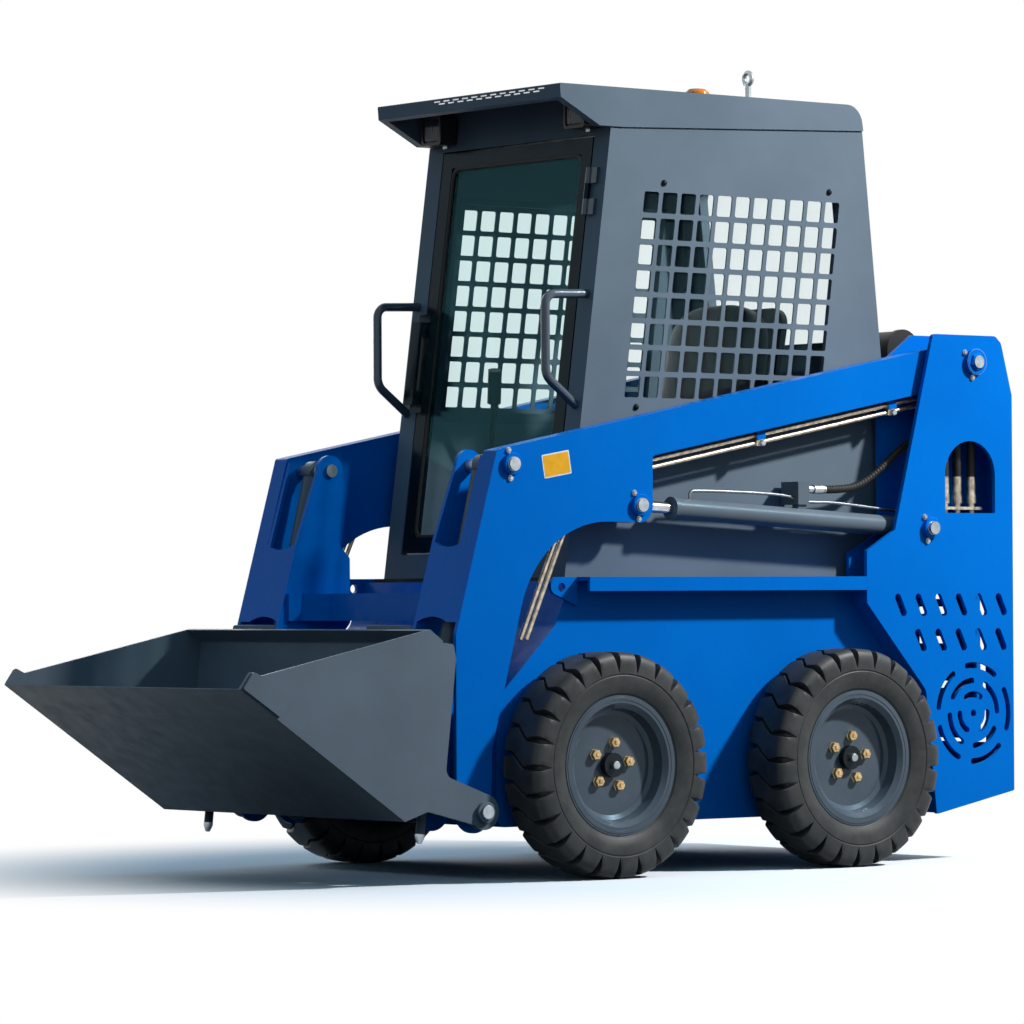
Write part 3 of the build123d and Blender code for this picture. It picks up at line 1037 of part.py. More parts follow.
LIFT_BARREL = (28, 22, 15, 880)          # outside radius, bore radius, rod radius, length
LIFT_EYE = (28, 27)                      # eye radius and width
VALVE_X = (FRONT_AXLE_X - 766, FRONT_AXLE_X - 728)
VALVE_INNER_Y = CAB_HALF_WIDTH + 14
VALVE_OUTER_Y = ARM_OUTER_Y - 10
VALVE_LOW_Z = 980
VALVE_TOP_Z = 1042
VALVE_PORT = (VALVE_OUTER_Y - 24, 1022)  # cross station and height of the hose port
TILT_BARREL = (27, 21, 14, 560)
TILT_EYE = (28, 30)
TILT_TIP = tipped([(*COUPLER_PIN, 0)])[0][:2]
for side, out in SIDES:
    base, tip = (LIFT_BASE_X, LIFT_BASE_Z), (LIFT_ROD_X, LIFT_ROD_Z)
    radius, bore, rod, length = LIFT_BARREL
    with BuildPart() as lift_barrel:
        barrel(base, tip, out * LIFT_Y, radius, bore, rod, length, *LIFT_EYE)
        # load-holding valve clamped to the barrel's top, with its hose port at the back
        x_from, x_to = VALVE_X
        block(x_from, x_to, out * VALVE_INNER_Y, out * VALVE_OUTER_Y, VALVE_LOW_Z, VALVE_TOP_Z)
        block(x_from + 4, x_to - 4, out * (LIFT_Y - 12), out * (LIFT_Y + 12), VALVE_LOW_Z - 14, VALVE_LOW_Z)
        bar((x_from, out * VALVE_PORT[0], VALVE_PORT[1]), (x_from - 16, out * VALVE_PORT[0], VALVE_PORT[1]), 10)
    save(lift_barrel, f"lift_barrel_{side}")
    with BuildPart() as lift_rod:
        piston_rod(base, tip, out * LIFT_Y, bore, rod, 120, *LIFT_EYE)
    save(lift_rod, f"lift_rod_{side}")

    base, tip = (TILT_TOP_X, TILT_TOP_Z), TILT_TIP
    radius, bore, rod, length = TILT_BARREL
    with BuildPart() as tilt_barrel:
        barrel(base, tip, out * TILT_Y, radius, bore, rod, length, *TILT_EYE)
    save(tilt_barrel, f"tilt_barrel_{side}")
    with BuildPart() as tilt_rod:
        piston_rod(base, tip, out * TILT_Y, bore, rod, 80, *TILT_EYE)
    save(tilt_rod, f"tilt_rod_{side}")
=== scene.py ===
import bpy
import bmesh
import math
import numpy as np
from mathutils import Matrix, Vector


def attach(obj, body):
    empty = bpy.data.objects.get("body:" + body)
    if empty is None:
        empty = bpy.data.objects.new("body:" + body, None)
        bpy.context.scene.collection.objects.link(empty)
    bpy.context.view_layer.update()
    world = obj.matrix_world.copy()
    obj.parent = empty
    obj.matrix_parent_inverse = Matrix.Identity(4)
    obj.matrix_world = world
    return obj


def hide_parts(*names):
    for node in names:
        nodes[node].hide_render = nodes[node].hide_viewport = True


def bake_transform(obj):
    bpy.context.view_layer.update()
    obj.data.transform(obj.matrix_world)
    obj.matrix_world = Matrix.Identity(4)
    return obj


# Skid steer loader, dressed for looks: metres, +X forward, +Y to the machine's left, +Z up.
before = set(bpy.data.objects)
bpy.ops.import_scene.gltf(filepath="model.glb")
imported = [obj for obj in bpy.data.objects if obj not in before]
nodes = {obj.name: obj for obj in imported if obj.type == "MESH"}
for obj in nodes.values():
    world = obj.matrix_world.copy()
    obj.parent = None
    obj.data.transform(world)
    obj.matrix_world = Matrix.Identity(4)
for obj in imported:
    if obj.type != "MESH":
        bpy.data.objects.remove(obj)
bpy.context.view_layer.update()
scene = bpy.context.scene
scene.view_settings.view_transform = "Standard"

# ---- camera and studio ----
# A long lens low on the machine's left front quarter. A wide pale floor runs into a white surround. One
# strong lamp stands high behind the machine's left side, like a low sun, and weak ones open the shade.
camera_data = bpy.data.cameras.new("camera")
camera_data.sensor_width = 36.0
camera_data.lens = 176.13
camera_data.clip_end = 200.0
camera = bpy.data.objects.new("camera", camera_data)
scene.collection.objects.link(camera)
scene.camera = camera
yaw, pitch, roll = (math.radians(a) for a in (-128.345, 0.983, -0.297))
ahead = Vector((math.cos(yaw) * math.cos(pitch), math.sin(yaw) * math.cos(pitch), math.sin(pitch)))
level_right = ahead.cross(Vector((0, 0, 1))).normalized()
level_up = level_right.cross(ahead)
right = math.cos(roll) * level_right + math.sin(roll) * level_up
upward = math.cos(roll) * level_up - math.sin(roll) * level_right
turn = Matrix((right, upward, -ahead)).transposed().to_4x4()
camera.matrix_world = Matrix.Translation((8.4574, 10.6301, 0.7309)) @ turn


def wire(tree, source, target):
    """Join an output socket to an input socket."""
    tree.links.new(source, target)


def seen_ray(tree):
    """1 for the rays that show the surround: from the camera, off metal or through glass."""
    rays = tree.nodes.new("ShaderNodeLightPath")
    either = tree.nodes.new("ShaderNodeMath")
    either.operation = "MAXIMUM"
    any_of = tree.nodes.new("ShaderNodeMath")
    any_of.operation = "MAXIMUM"
    wire(tree, rays.outputs["Is Camera Ray"], either.inputs[0])
    wire(tree, rays.outputs["Is Transmission Ray"], either.inputs[1])
    wire(tree, either.outputs[0], any_of.inputs[0])
    wire(tree, rays.outputs["Is Glossy Ray"], any_of.inputs[1])
    return any_of.outputs[0]


world = bpy.data.worlds.new("surround")
scene.world = world
world.use_nodes = True
tree = world.node_tree
tree.nodes.clear()
sky = tree.nodes.new("ShaderNodeBackground")
sky.inputs["Color"].default_value = (0.40, 0.74, 1.0, 1.0)
direction = tree.nodes.new("ShaderNodeTexCoord")
height = tree.nodes.new("ShaderNodeSeparateXYZ")
dome = tree.nodes.new("ShaderNodeMapRange")
dome.inputs["From Min"].default_value = -0.05
dome.inputs["From Max"].default_value = 0.7
dome.inputs["To Min"].default_value = 0.10
dome.inputs["To Max"].default_value = 0.52
wire(tree, direction.outputs["Generated"], height.inputs[0])
wire(tree, height.outputs["Z"], dome.inputs["Value"])
wire(tree, dome.outputs["Result"], sky.inputs["Strength"])
backdrop = tree.nodes.new("ShaderNodeBackground")
backdrop.inputs["Color"].default_value = (1.0, 1.0, 1.0, 1.0)
blend = tree.nodes.new("ShaderNodeMixShader")
out = tree.nodes.new("ShaderNodeOutputWorld")
wire(tree, seen_ray(tree), blend.inputs[0])
wire(tree, sky.outputs[0], blend.inputs[1])
wire(tree, backdrop.outputs[0], blend.inputs[2])
wire(tree, blend.outputs[0], out.inputs["Surface"])

# the floor takes the machine's shadow, and fades to the white surround away from it; it throws little
# light back up
reach = 30.0
floor_mesh = bpy.data.meshes.new("floor")
floor_mesh.from_pydata(
    [(-reach, -reach, 0), (reach, -reach, 0), (reach, reach, 0), (-reach, reach, 0)], [], [(0, 1, 2, 3)])
floor = bpy.data.objects.new("floor", floor_mesh)
scene.collection.objects.link(floor)
floor_paint = bpy.data.materials.new("floor_paint")
floor_paint.use_nodes = True
tree = floor_paint.node_tree
tree.nodes.clear()
matte = tree.nodes.new("ShaderNodeBsdfDiffuse")
pale = tree.nodes.new("ShaderNodeMix")
pale.data_type = "RGBA"
pale.inputs["A"].default_value = (0.05, 0.053, 0.058, 1.0)
pale.inputs["B"].default_value = (0.80, 0.82, 0.85, 1.0)
white = tree.nodes.new("ShaderNodeEmission")
white.inputs["Strength"].default_value = 1.0
where = tree.nodes.new("ShaderNodeTexCoord")
distance = tree.nodes.new("ShaderNodeVectorMath")
distance.operation = "LENGTH"
fade = tree.nodes.new("ShaderNodeMapRange")
fade.interpolation_type = "SMOOTHSTEP"
fade.inputs["From Min"].default_value = 0.9
fade.inputs["From Max"].default_value = 2.1
share = tree.nodes.new("ShaderNodeMath")
share.operation = "MULTIPLY"
blend = tree.nodes.new("ShaderNodeMixShader")
out = tree.nodes.new("ShaderNodeOutputMaterial")
wire(tree, seen_ray(tree), pale.inputs["Factor"])
wire(tree, pale.outputs["Result"], matte.inputs["Color"])
wire(tree, where.outputs["Object"], distance.inputs[0])
wire(tree, distance.outputs["Value"], fade.inputs["Value"])
wire(tree, seen_ray(tree), share.inputs[0])
wire(tree, fade.outputs["Result"], share.inputs[1])
wire(tree, share.outputs[0], blend.inputs[0])
wire(tree, matte.outputs[0], blend.inputs[1])
wire(tree, white.outputs[0], blend.inputs[2])
wire(tree, blend.outputs[0], out.inputs["Surface"])
floor_mesh.materials.append(floor_paint)


def soft_lamp(name, place, target, size, watts):
    """Square soft lamp at a place, facing a target."""
    data = bpy.data.lights.new(name, "AREA")
    data.size = size
    data.energy = watts
    holder = bpy.data.objects.new(name, data)
    aim = (Vector(target) - Vector(place)).to_track_quat("-Z", "Y")
    holder.matrix_world = Matrix.Translation(place) @ aim.to_matrix().to_4x4()
    scene.collection.objects.link(holder)


soft_lamp("key_lamp", (-4.15, 3.96, 5.0), (-0.1, 0.0, 0.9), 0.4, 700)
soft_lamp("front_fill", (6.5, 3.5, 2.2), (0.3, 0.0, 0.8), 3.0, 12)
soft_lamp("right_fill", (-1.0, -6.5, 3.2), (0.0, 0.0, 1.0), 4.0, 130)

# ---- chassis, side ledges and towers ----
# Folded and welded steel plate, sprayed all over in one gloss blue. The coat is even, with a faint
# orange peel and small changes in its dullness.


def coated_metal(name, light, dark, dull, gloss, peel=0.05, mottle=3.0, mirror=0.12,
                 cast=(0.25, 0.70, 1.0)):
    """Sprayed paint: noise in object space mixes two near shades, moves the roughness and makes the peel.
    What it mirrors takes the cast of the pigment."""
    material = bpy.data.materials.new(name)
    material.use_nodes = True
    tree = material.node_tree
    shader = tree.nodes["Principled BSDF"]
    place = tree.nodes.new("ShaderNodeTexCoord")
    broad, worn, fine = (tree.nodes.new("ShaderNodeTexNoise") for _ in range(3))
    for texture, scale, detail in ((broad, mottle, 5.0), (worn, 22.0, 8.0), (fine, 240.0, 2.0)):
        texture.inputs["Scale"].default_value = scale
        texture.inputs["Detail"].default_value = detail
        wire(tree, place.outputs["Object"], texture.inputs["Vector"])
    shades = tree.nodes.new("ShaderNodeValToRGB")
    shades.color_ramp.elements[0].position = 0.32
    shades.color_ramp.elements[0].color = (*dark, 1.0)
    shades.color_ramp.elements[1].position = 0.68
    shades.color_ramp.elements[1].color = (*light, 1.0)
    wire(tree, broad.outputs["Fac"], shades.inputs["Fac"])
    rough = tree.nodes.new("ShaderNodeMapRange")
    rough.inputs["From Min"].default_value = 0.35
    rough.inputs["From Max"].default_value = 0.75
    rough.inputs["To Min"].default_value = dull
    rough.inputs["To Max"].default_value = min(dull + 0.16, 1.0)
    bump = tree.nodes.new("ShaderNodeBump")
    bump.inputs["Strength"].default_value = peel
    bump.inputs["Distance"].default_value = 0.002
    shader.inputs["Specular IOR Level"].default_value = mirror
    shader.inputs["Specular Tint"].default_value = (*cast, 1.0)
    shader.inputs["Coat Weight"].default_value = gloss
    shader.inputs["Coat Roughness"].default_value = 0.08
    wire(tree, shades.outputs["Color"], shader.inputs["Base Color"])
    wire(tree, worn.outputs["Fac"], rough.inputs["Value"])
    wire(tree, rough.outputs["Result"], shader.inputs["Roughness"])
    wire(tree, fine.outputs["Fac"], bump.inputs["Height"])
    wire(tree, bump.outputs["Normal"], shader.inputs["Normal"])
    return material


def dress(finish, *names):
    """Give CAD nodes a finish in place of their plain one."""
    for name in names:
        data = nodes[name].data
        if not data.materials:
            data.materials.append(finish)
        for spot in nodes[name].material_slots:
            spot.material = finish


loader_blue = coated_metal("loader_blue", (0.0, 0.152, 0.58), (0.0, 0.135, 0.53), 0.24, 0.0, mirror=0.1,
                           cast=(0.0, 0.35, 1.0))
dress(loader_blue, "tower_left", "tower_right", "frame_tub", "side_ledges", "rear_frame")


def skin(name, grids, finish, body, wrap=(False, True), crease=35.0):
    """Piece from grids of points, one grid a copy: (..., rows, columns, 3). Each face joins a point to the
    next in its row and column, wrap joins the last row or column to the first, and poles are merged. A piece
    that bends between two bodies is given none here."""
    grids = np.asarray(grids, float)
    rows, columns = grids.shape[-3:-1]
    grids = grids.reshape(-1, rows * columns, 3)
    index = np.arange(rows * columns).reshape(rows, columns)
    if wrap[0]:
        index = np.vstack([index, index[:1]])
    if wrap[1]:
        index = np.hstack([index, index[:, :1]])
    one = np.stack([index[:-1, :-1], index[1:, :-1], index[1:, 1:], index[:-1, 1:]], -1).reshape(-1, 4)
    faces = (one[None] + rows * columns * np.arange(len(grids))[:, None, None]).reshape(-1, 4)
    mesh = bpy.data.meshes.new(name)
    mesh.from_pydata(grids.reshape(-1, 3), [], faces)
    solid = bmesh.new()
    solid.from_mesh(mesh)
    bmesh.ops.remove_doubles(solid, verts=solid.verts, dist=1e-6)
    bmesh.ops.recalc_face_normals(solid, faces=solid.faces)
    solid.to_mesh(mesh)
    solid.free()
    mesh.polygons.foreach_set("use_smooth", np.ones(len(mesh.polygons), bool))
    mesh.set_sharp_from_angle(angle=math.radians(crease))
    mesh.materials.append(finish)
    piece = bpy.data.objects.new(name, mesh)
    scene.collection.objects.link(piece)
    if body:
        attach(piece, body)
    return piece


def turned(profile, centres, axis, sides=32, start=0.0):
    """Bodies of revolution, one at each centre: a profile of (distance along the axis, radius) swept round
    it at evenly spaced angles."""
    profile = np.asarray(profile, float)
    axis = np.asarray(axis, float) / np.linalg.norm(axis)
    helper = np.array([0.0, 0.0, 1.0]) if abs(axis[2]) < 0.9 else np.array([1.0, 0.0, 0.0])
    first = np.cross(helper, axis)
    first /= np.linalg.norm(first)
    second = np.cross(axis, first)
    angle = start + np.arange(sides) * 2 * np.pi / sides
    ring = np.cos(angle)[:, None] * first + np.sin(angle)[:, None] * second
    grid = profile[:, 0, None, None] * axis + profile[:, 1, None, None] * ring
    return np.asarray(centres, float).reshape(-1, 1, 1, 3) + grid


def both_sides(points):
    """Points on the left, and the same points mirrored to the right."""
    points = np.asarray(points, float).reshape(-1, 3)
    return np.vstack([points, points * (1, -1, 1)])


def plated(name, shade, dull, tint=0.0):
    """Bare or plated metal: fine brushed noise moves its roughness and tints it a little."""
    material = bpy.data.materials.new(name)
    material.use_nodes = True
    tree = material.node_tree
    shader = tree.nodes["Principled BSDF"]
    place = tree.nodes.new("ShaderNodeTexCoord")
    grain = tree.nodes.new("ShaderNodeTexNoise")
    grain.inputs["Scale"].default_value = 60.0
    grain.inputs["Detail"].default_value = 4.0
    shades = tree.nodes.new("ShaderNodeValToRGB")
    shades.color_ramp.elements[0].position = 0.3
    shades.color_ramp.elements[0].color = (*(c * (0.75 - tint) for c in shade), 1.0)
    shades.color_ramp.elements[1].position = 0.7
    shades.color_ramp.elements[1].color = (*shade, 1.0)
    rough = tree.nodes.new("ShaderNodeMapRange")
    rough.inputs["To Min"].default_value = dull
    rough.inputs["To Max"].default_value = dull + 0.2
    bump = tree.nodes.new("ShaderNodeBump")
    bump.inputs["Strength"].default_value = 0.03
    bump.inputs["Distance"].default_value = 0.0004
    shader.inputs["Metallic"].default_value = 1.0
    wire(tree, place.outputs["Object"], grain.inputs["Vector"])
    wire(tree, grain.outputs["Fac"], shades.inputs["Fac"])
    wire(tree, shades.outputs["Color"], shader.inputs["Base Color"])
    wire(tree, grain.outputs["Fac"], rough.inputs["Value"])
    wire(tree, rough.outputs["Result"], shader.inputs["Roughness"])
    wire(tree, grain.outputs["Fac"], bump.inputs["Height"])
    wire(tree, bump.outputs["Normal"], shader.inputs["Normal"])
    return material


zinc = plated("zinc_plate", (0.42, 0.47, 0.50), 0.28)
dress(zinc, "frame_pins", "arm_pins")

# ---- tyres ----
# Solid moulded rubber industrial tyres. Each shoulder carries 25 lugs, parted by grooves that are wide
# and deep at the shoulder, run in narrower with a double kink, and come out half a pitch further round.


def moulded_rubber(name, black, grey, dull):
    """Rubber: fine grain and soft blotches, greyer where dust lies."""
    material = bpy.data.materials.new(name)
    material.use_nodes = True
    tree = material.node_tree
    shader = tree.nodes["Principled BSDF"]
    place = tree.nodes.new("ShaderNodeTexCoord")
    dust = tree.nodes.new("ShaderNodeTexNoise")
    dust.inputs["Scale"].default_value = 14.0
    dust.inputs["Detail"].default_value = 9.0
    dust.inputs["Roughness"].default_value = 0.65
    grain = tree.nodes.new("ShaderNodeTexNoise")
    grain.inputs["Scale"].default_value = 420.0
    grain.inputs["Detail"].default_value = 3.0
    shades = tree.nodes.new("ShaderNodeValToRGB")
    shades.color_ramp.elements[0].position = 0.38
    shades.color_ramp.elements[0].color = (*black, 1.0)
    shades.color_ramp.elements[1].position = 0.74
    shades.color_ramp.elements[1].color = (*grey, 1.0)
    rough = tree.nodes.new("ShaderNodeMapRange")
    rough.inputs["To Min"].default_value = dull
    rough.inputs["To Max"].default_value = dull + 0.25
    bump = tree.nodes.new("ShaderNodeBump")
    bump.inputs["Strength"].default_value = 0.15
    bump.inputs["Distance"].default_value = 0.001
    for texture in (dust, grain):
        wire(tree, place.outputs["Object"], texture.inputs["Vector"])
    shader.inputs["Specular IOR Level"].default_value = 0.2
    wire(tree, dust.outputs["Fac"], shades.inputs["Fac"])
    wire(tree, shades.outputs["Color"], shader.inputs["Base Color"])
    wire(tree, dust.outputs["Fac"], rough.inputs["Value"])
    wire(tree, rough.outputs["Result"], shader.inputs["Roughness"])
    wire(tree, grain.outputs["Fac"], bump.inputs["Height"])
    wire(tree, bump.outputs["Normal"], shader.inputs["Normal"])
    return material


tyre_rubber = moulded_rubber("tyre_rubber", (0.028, 0.030, 0.030), (0.062, 0.063, 0.061), 0.34)
AXLE_Z = 0.295
WHEEL_Y = 0.539
AXLES = {"front": 0.167, "rear": -0.666}
SIDES = (("left", 1), ("right", -1))
LUGS = 25
# half section from the bead to the crown: lug top's distance from the middle plane and radius,
# groove bottom's distance and radius, and half the groove's width at its top
TREAD = np.array((
    (0.0540, 0.1760, 0.0540, 0.1760, 0.0008), (0.0600, 0.1850, 0.0600, 0.1850, 0.0008),
    (0.0625, 0.1880, 0.0625, 0.1880, 0.0008), (0.0640, 0.1885, 0.0640, 0.1885, 0.0008),
    (0.0690, 0.1990, 0.0690, 0.1990, 0.0008), (0.0725, 0.2120, 0.0725, 0.2120, 0.0008),
    (0.0742, 0.2260, 0.0742, 0.2260, 0.0008), (0.0742, 0.2325, 0.0742, 0.2325, 0.0008),
    (0.0728, 0.2345, 0.0728, 0.2345, 0.0008), (0.0728, 0.2362, 0.0728, 0.2362, 0.0008),
    (0.0750, 0.2385, 0.0750, 0.2385, 0.0008), (0.0750, 0.2460, 0.0735, 0.2440, 0.0022),
    (0.0748, 0.2600, 0.0690, 0.2520, 0.0052), (0.0738, 0.2700, 0.0650, 0.2580, 0.0072),
    (0.0715, 0.2780, 0.0620, 0.2620, 0.0086), (0.0680, 0.2850, 0.0590, 0.2655, 0.0092),
    (0.0635, 0.2900, 0.0555, 0.2680, 0.0090), (0.0570, 0.2932, 0.0510, 0.2700, 0.0084),
    (0.0480, 0.2942, 0.0460, 0.2715, 0.0074), (0.0380, 0.2947, 0.0380, 0.2730, 0.0058),
    (0.0270, 0.2949, 0.0270, 0.2742, 0.0046), (0.0225, 0.2950, 0.0225, 0.2746, 0.0044),
    (0.0210, 0.2950, 0.0210, 0.2747, 0.0044), (0.0100, 0.2950, 0.0100, 0.2749, 0.0044),
    (0.0000, 0.2950, 0.0000, 0.2750, 0.0044),
))


def tread_grid(x, y, out):
    """Tyre as rows across the section by columns round it. Columns follow the grooves: their angle shifts by
    half a pitch between the kinks, and in each pitch they stand at the groove's bottom, walls and lug."""
    half = TREAD * (out, 1, out, 1, 1)
    other = (TREAD * (-out, 1, -out, 1, 1))[-2::-1]
    section = np.vstack([half, other, [(-out * 0.055, 0.158, -out * 0.055, 0.158, 0.0008)],
                         [(out * 0.055, 0.158, out * 0.055, 0.158, 0.0008)]])
    across = section[:, 0] * out
    shift = np.clip((0.0225 - across) / 0.045, 0, 1)[:, None, None]
    pitch = 2 * np.pi / LUGS
    top = (section[:, 4] / 0.28)[:, None, None]
    wall = np.array((0, 0.55, 1.0, 0, 0, 0, 0, 0, 1.0, 0.55))
    lip = np.array((0, 0, 0, 0.0045, 0, 0, 0, 0.0045, 0, 0))
    land = np.array((0, 0, 0, 1, 0, 0, 0, 1, 0, 0))
    side = np.array((0, 1, 1, 1, 0, 0, 0, -1, -1, -1))
    middle = np.array((0, 0, 0, 0, 0.28, 0.5, 0.72, 0, 0, 0)) * pitch
    reach_round = top * (wall + land) + lip
    local = side * reach_round + middle + pitch * (side < 0)
    depth = np.array((1.0, 1.0, 0.07, 0, 0, 0, 0, 0, 0.07, 1.0))
    angle = local + pitch * (np.arange(LUGS)[:, None] + shift / 2)
    angle = angle.reshape(len(section), -1)
    depth = np.tile(depth, LUGS)
    lateral = section[:, 0, None] + depth * (section[:, 2] - section[:, 0])[:, None]
    radius = section[:, 1, None] + depth * (section[:, 3] - section[:, 1])[:, None]
    return np.stack([x + radius * np.cos(angle), y + lateral, AXLE_Z + radius * np.sin(angle)], -1)


for axle, axle_x in AXLES.items():
    for side, out in SIDES:
        tyre = skin(f"tread_{axle}_{side}", tread_grid(axle_x, out * WHEEL_Y, out), tyre_rubber,
                    f"wheel_{axle}_{side}", wrap=(True, True), crease=30)
        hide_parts(f"tyre_{axle}_{side}")

# ---- rims, hubs and wheel nuts ----
# Spun steel rims with a deep dish and a raised ring, enamelled dark grey. Five gold-passivated nuts
# hold each to the axle flange, and a black hub with a bright centre fills the middle.
rim_grey = coated_metal("rim_grey", (0.078, 0.102, 0.128), (0.060, 0.080, 0.102), 0.20, 0.3, 0.03, 9.0)
hub_black = coated_metal("hub_black", (0.012, 0.013, 0.015), (0.007, 0.008, 0.009), 0.3, 0.2)
gold_nut = plated("gold_passivate", (0.72, 0.52, 0.26), 0.25, 0.2)
dress(rim_grey, *(f"rim_{axle}_{side}" for axle in AXLES for side, _ in SIDES))
dress(hub_black, "axle_stubs")
NUT_ANGLES = np.radians(100 + 72 * np.arange(5))
NUT_CIRCLE = 0.0595
for axle, axle_x in AXLES.items():
    for side, out in SIDES:
        body = f"wheel_{axle}_{side}"
        hub_face = out * (WHEEL_Y + 0.016)
        centres = np.stack([axle_x + NUT_CIRCLE * np.cos(NUT_ANGLES), np.full(5, hub_face),
                            AXLE_Z + NUT_CIRCLE * np.sin(NUT_ANGLES)], -1)
        skin(f"wheel_nuts_{axle}_{side}", turned(
            [(0, 0.0), (0, 0.0155), (0.002, 0.0155), (0.003, 0.0145), (0.013, 0.0145), (0.0155, 0.0120),
             (0.0155, 0.0066), (0.0125, 0.0062), (0.0125, 0.0)], centres, (0, out, 0), 6),
            gold_nut, body, crease=20)
        skin(f"wheel_studs_{axle}_{side}", turned(
            [(0.010, 0.0), (0.010, 0.0058), (0.0185, 0.0058), (0.0195, 0.0048), (0.0195, 0.0)],
            centres, (0, out, 0), 16), gold_nut, body)
        # raised rings that the spinning leaves on the rim's outer flange
        skin(f"rim_rings_{axle}_{side}", turned(
            [(0.0, 0.1785), (0.0018, 0.1775), (0.0018, 0.1705), (0.0, 0.1695), (-0.004, 0.1740)],
            [(axle_x, out * (WHEEL_Y + 0.0606), AXLE_Z)], (0, out, 0), 128),
            rim_grey, body, wrap=(True, True))
        skin(f"hub_centre_{axle}_{side}", turned(
            [(0.0, 0.0), (0.0, 0.0110), (0.012, 0.0110), (0.0145, 0.0085), (0.0145, 0.0)],
            [(axle_x, out * (WHEEL_Y + 0.0335), AXLE_Z)], (0, out, 0), 24), zinc, "machine")

# ---- heads of the pins in the towers and arms ----
# Each pin's end stands bright in a blue retaining ring, and two zinc bolts hold the ring to the plate.
TOWER_FACE_Y = 0.5143
ARM_FACE_Y = 0.4893
PIVOT_X, PIVOT_Z = -1.185, 1.380

def collar_and_bolts(name, x, y, z, ring, pin, lift, bolt_angles, body):
    """Ring and hexagon bolts round a pin, turned about the cross axis, left and right."""
    for side, out in SIDES:
        at = (x, out * y, z)
        skin(f"{name}_collar_{side}", turned(
            [(-0.002, ring), (lift - 0.002, ring), (lift, ring - 0.002), (lift, pin + 0.002),
             (lift - 0.002, pin), (-0.002, pin)], [at], (0, out, 0), 48),
            loader_blue, body, wrap=(True, True))
        spread = np.radians(bolt_angles)
        spots = np.stack([x + (ring + 0.008) * np.cos(spread), np.full(len(spread), out * y),
                          z + (ring + 0.008) * np.sin(spread)], -1)
        skin(f"{name}_washers_{side}", turned(
            [(0, 0), (0, 0.0080), (0.0018, 0.0080), (0.0018, 0)], spots, (0, out, 0), 20),
            zinc, body)
        skin(f"{name}_bolts_{side}", turned(
            [(0.0015, 0), (0.0015, 0.0060), (0.0060, 0.0060), (0.0072, 0.0048), (0.0072, 0)], spots,
            (0, out, 0), 6), zinc, body, crease=20)


collar_and_bolts("pivot_pin", PIVOT_X, TOWER_FACE_Y, PIVOT_Z, 0.0365, 0.020, 0.0130, (35, -80), "machine")
collar_and_bolts("lift_base_pin", -1.014, TOWER_FACE_Y, 0.918, 0.0290, 0.0178, 0.0130, (55, -75), "machine")
collar_and_bolts("tilt_pin", 0.437, ARM_FACE_Y, 1.077, 0.0290, 0.0178, 0.0120, (75, -85), "arms")
collar_and_bolts("lift_rod_pin", 0.007, ARM_FACE_Y, 0.974, 0.0290, 0.0178, 0.0120, (60, -85), "arms")
# painted hexagon over the pivot pin's end
for side, out in SIDES:
    skin(f"pivot_head_{side}", turned(
        [(0.0, 0.0), (0.0, 0.0255), (0.017, 0.0255), (0.0195, 0.0225), (0.0195, 0.0)],
        [(PIVOT_X, out * TOWER_FACE_Y, PIVOT_Z)], (0, out, 0), 6, 0.3),
        loader_blue, "machine", crease=20)

# ---- cab shell ----
# Pressed and welded steel cab: side panels with a punched grille, front pillars, roof and back, all in
# satin slate grey. Clear panes sit inside the grilles and in the back.
cab_slate = coated_metal("cab_slate", (0.135, 0.172, 0.210), (0.110, 0.142, 0.176), 0.36, 0.0, mirror=0.08)
dress(cab_slate, "cab_side_left", "cab_side_right", "cab_roof", "cab_back", "cab_front_frame",
      "engine_hood")
satin_black = coated_metal("satin_black", (0.012, 0.014, 0.016), (0.007, 0.009, 0.011), 0.40, 0.05)
dress(satin_black, "cab_floor")


def window_glass(name, tint, dull, shine):
    """Tinted pane: most light passes, more so square on, and a faint ripple bends what it mirrors."""
    material = bpy.data.materials.new(name)
    material.use_nodes = True
    tree = material.node_tree
    tree.nodes.clear()
    place = tree.nodes.new("ShaderNodeTexCoord")
    ripple = tree.nodes.new("ShaderNodeTexNoise")
    ripple.inputs["Scale"].default_value = 5.0
    ripple.inputs["Detail"].default_value = 2.0
    bump = tree.nodes.new("ShaderNodeBump")
    bump.inputs["Strength"].default_value = 0.25
    bump.inputs["Distance"].default_value = 0.01
    clear = tree.nodes.new("ShaderNodeBsdfTransparent")
    clear.inputs["Color"].default_value = (*tint, 1.0)
    mirror = tree.nodes.new("ShaderNodeBsdfGlossy")
    mirror.inputs["Color"].default_value = (*shine, 1.0)
    mirror.inputs["Roughness"].default_value = dull
    facing = tree.nodes.new("ShaderNodeLayerWeight")
    facing.inputs["Blend"].default_value = 0.5
    grazing = tree.nodes.new("ShaderNodeMath")
    grazing.operation = "POWER"
    grazing.inputs[1].default_value = 5.0
    edge = tree.nodes.new("ShaderNodeMapRange")
    edge.inputs["To Min"].default_value = 0.04
    mix = tree.nodes.new("ShaderNodeMixShader")
    out = tree.nodes.new("ShaderNodeOutputMaterial")
    wire(tree, place.outputs["Object"], ripple.inputs["Vector"])
    wire(tree, ripple.outputs["Fac"], bump.inputs["Height"])
    wire(tree, bump.outputs["Normal"], mirror.inputs["Normal"])
    wire(tree, facing.outputs["Facing"], grazing.inputs[0])
    wire(tree, grazing.outputs[0], edge.inputs["Value"])
    wire(tree, edge.outputs[0], mix.inputs[0])
    wire(tree, clear.outputs[0], mix.inputs[1])
    wire(tree, mirror.outputs[0], mix.inputs[2])
    wire(tree, mix.outputs[0], out.inputs["Surface"])
    return material


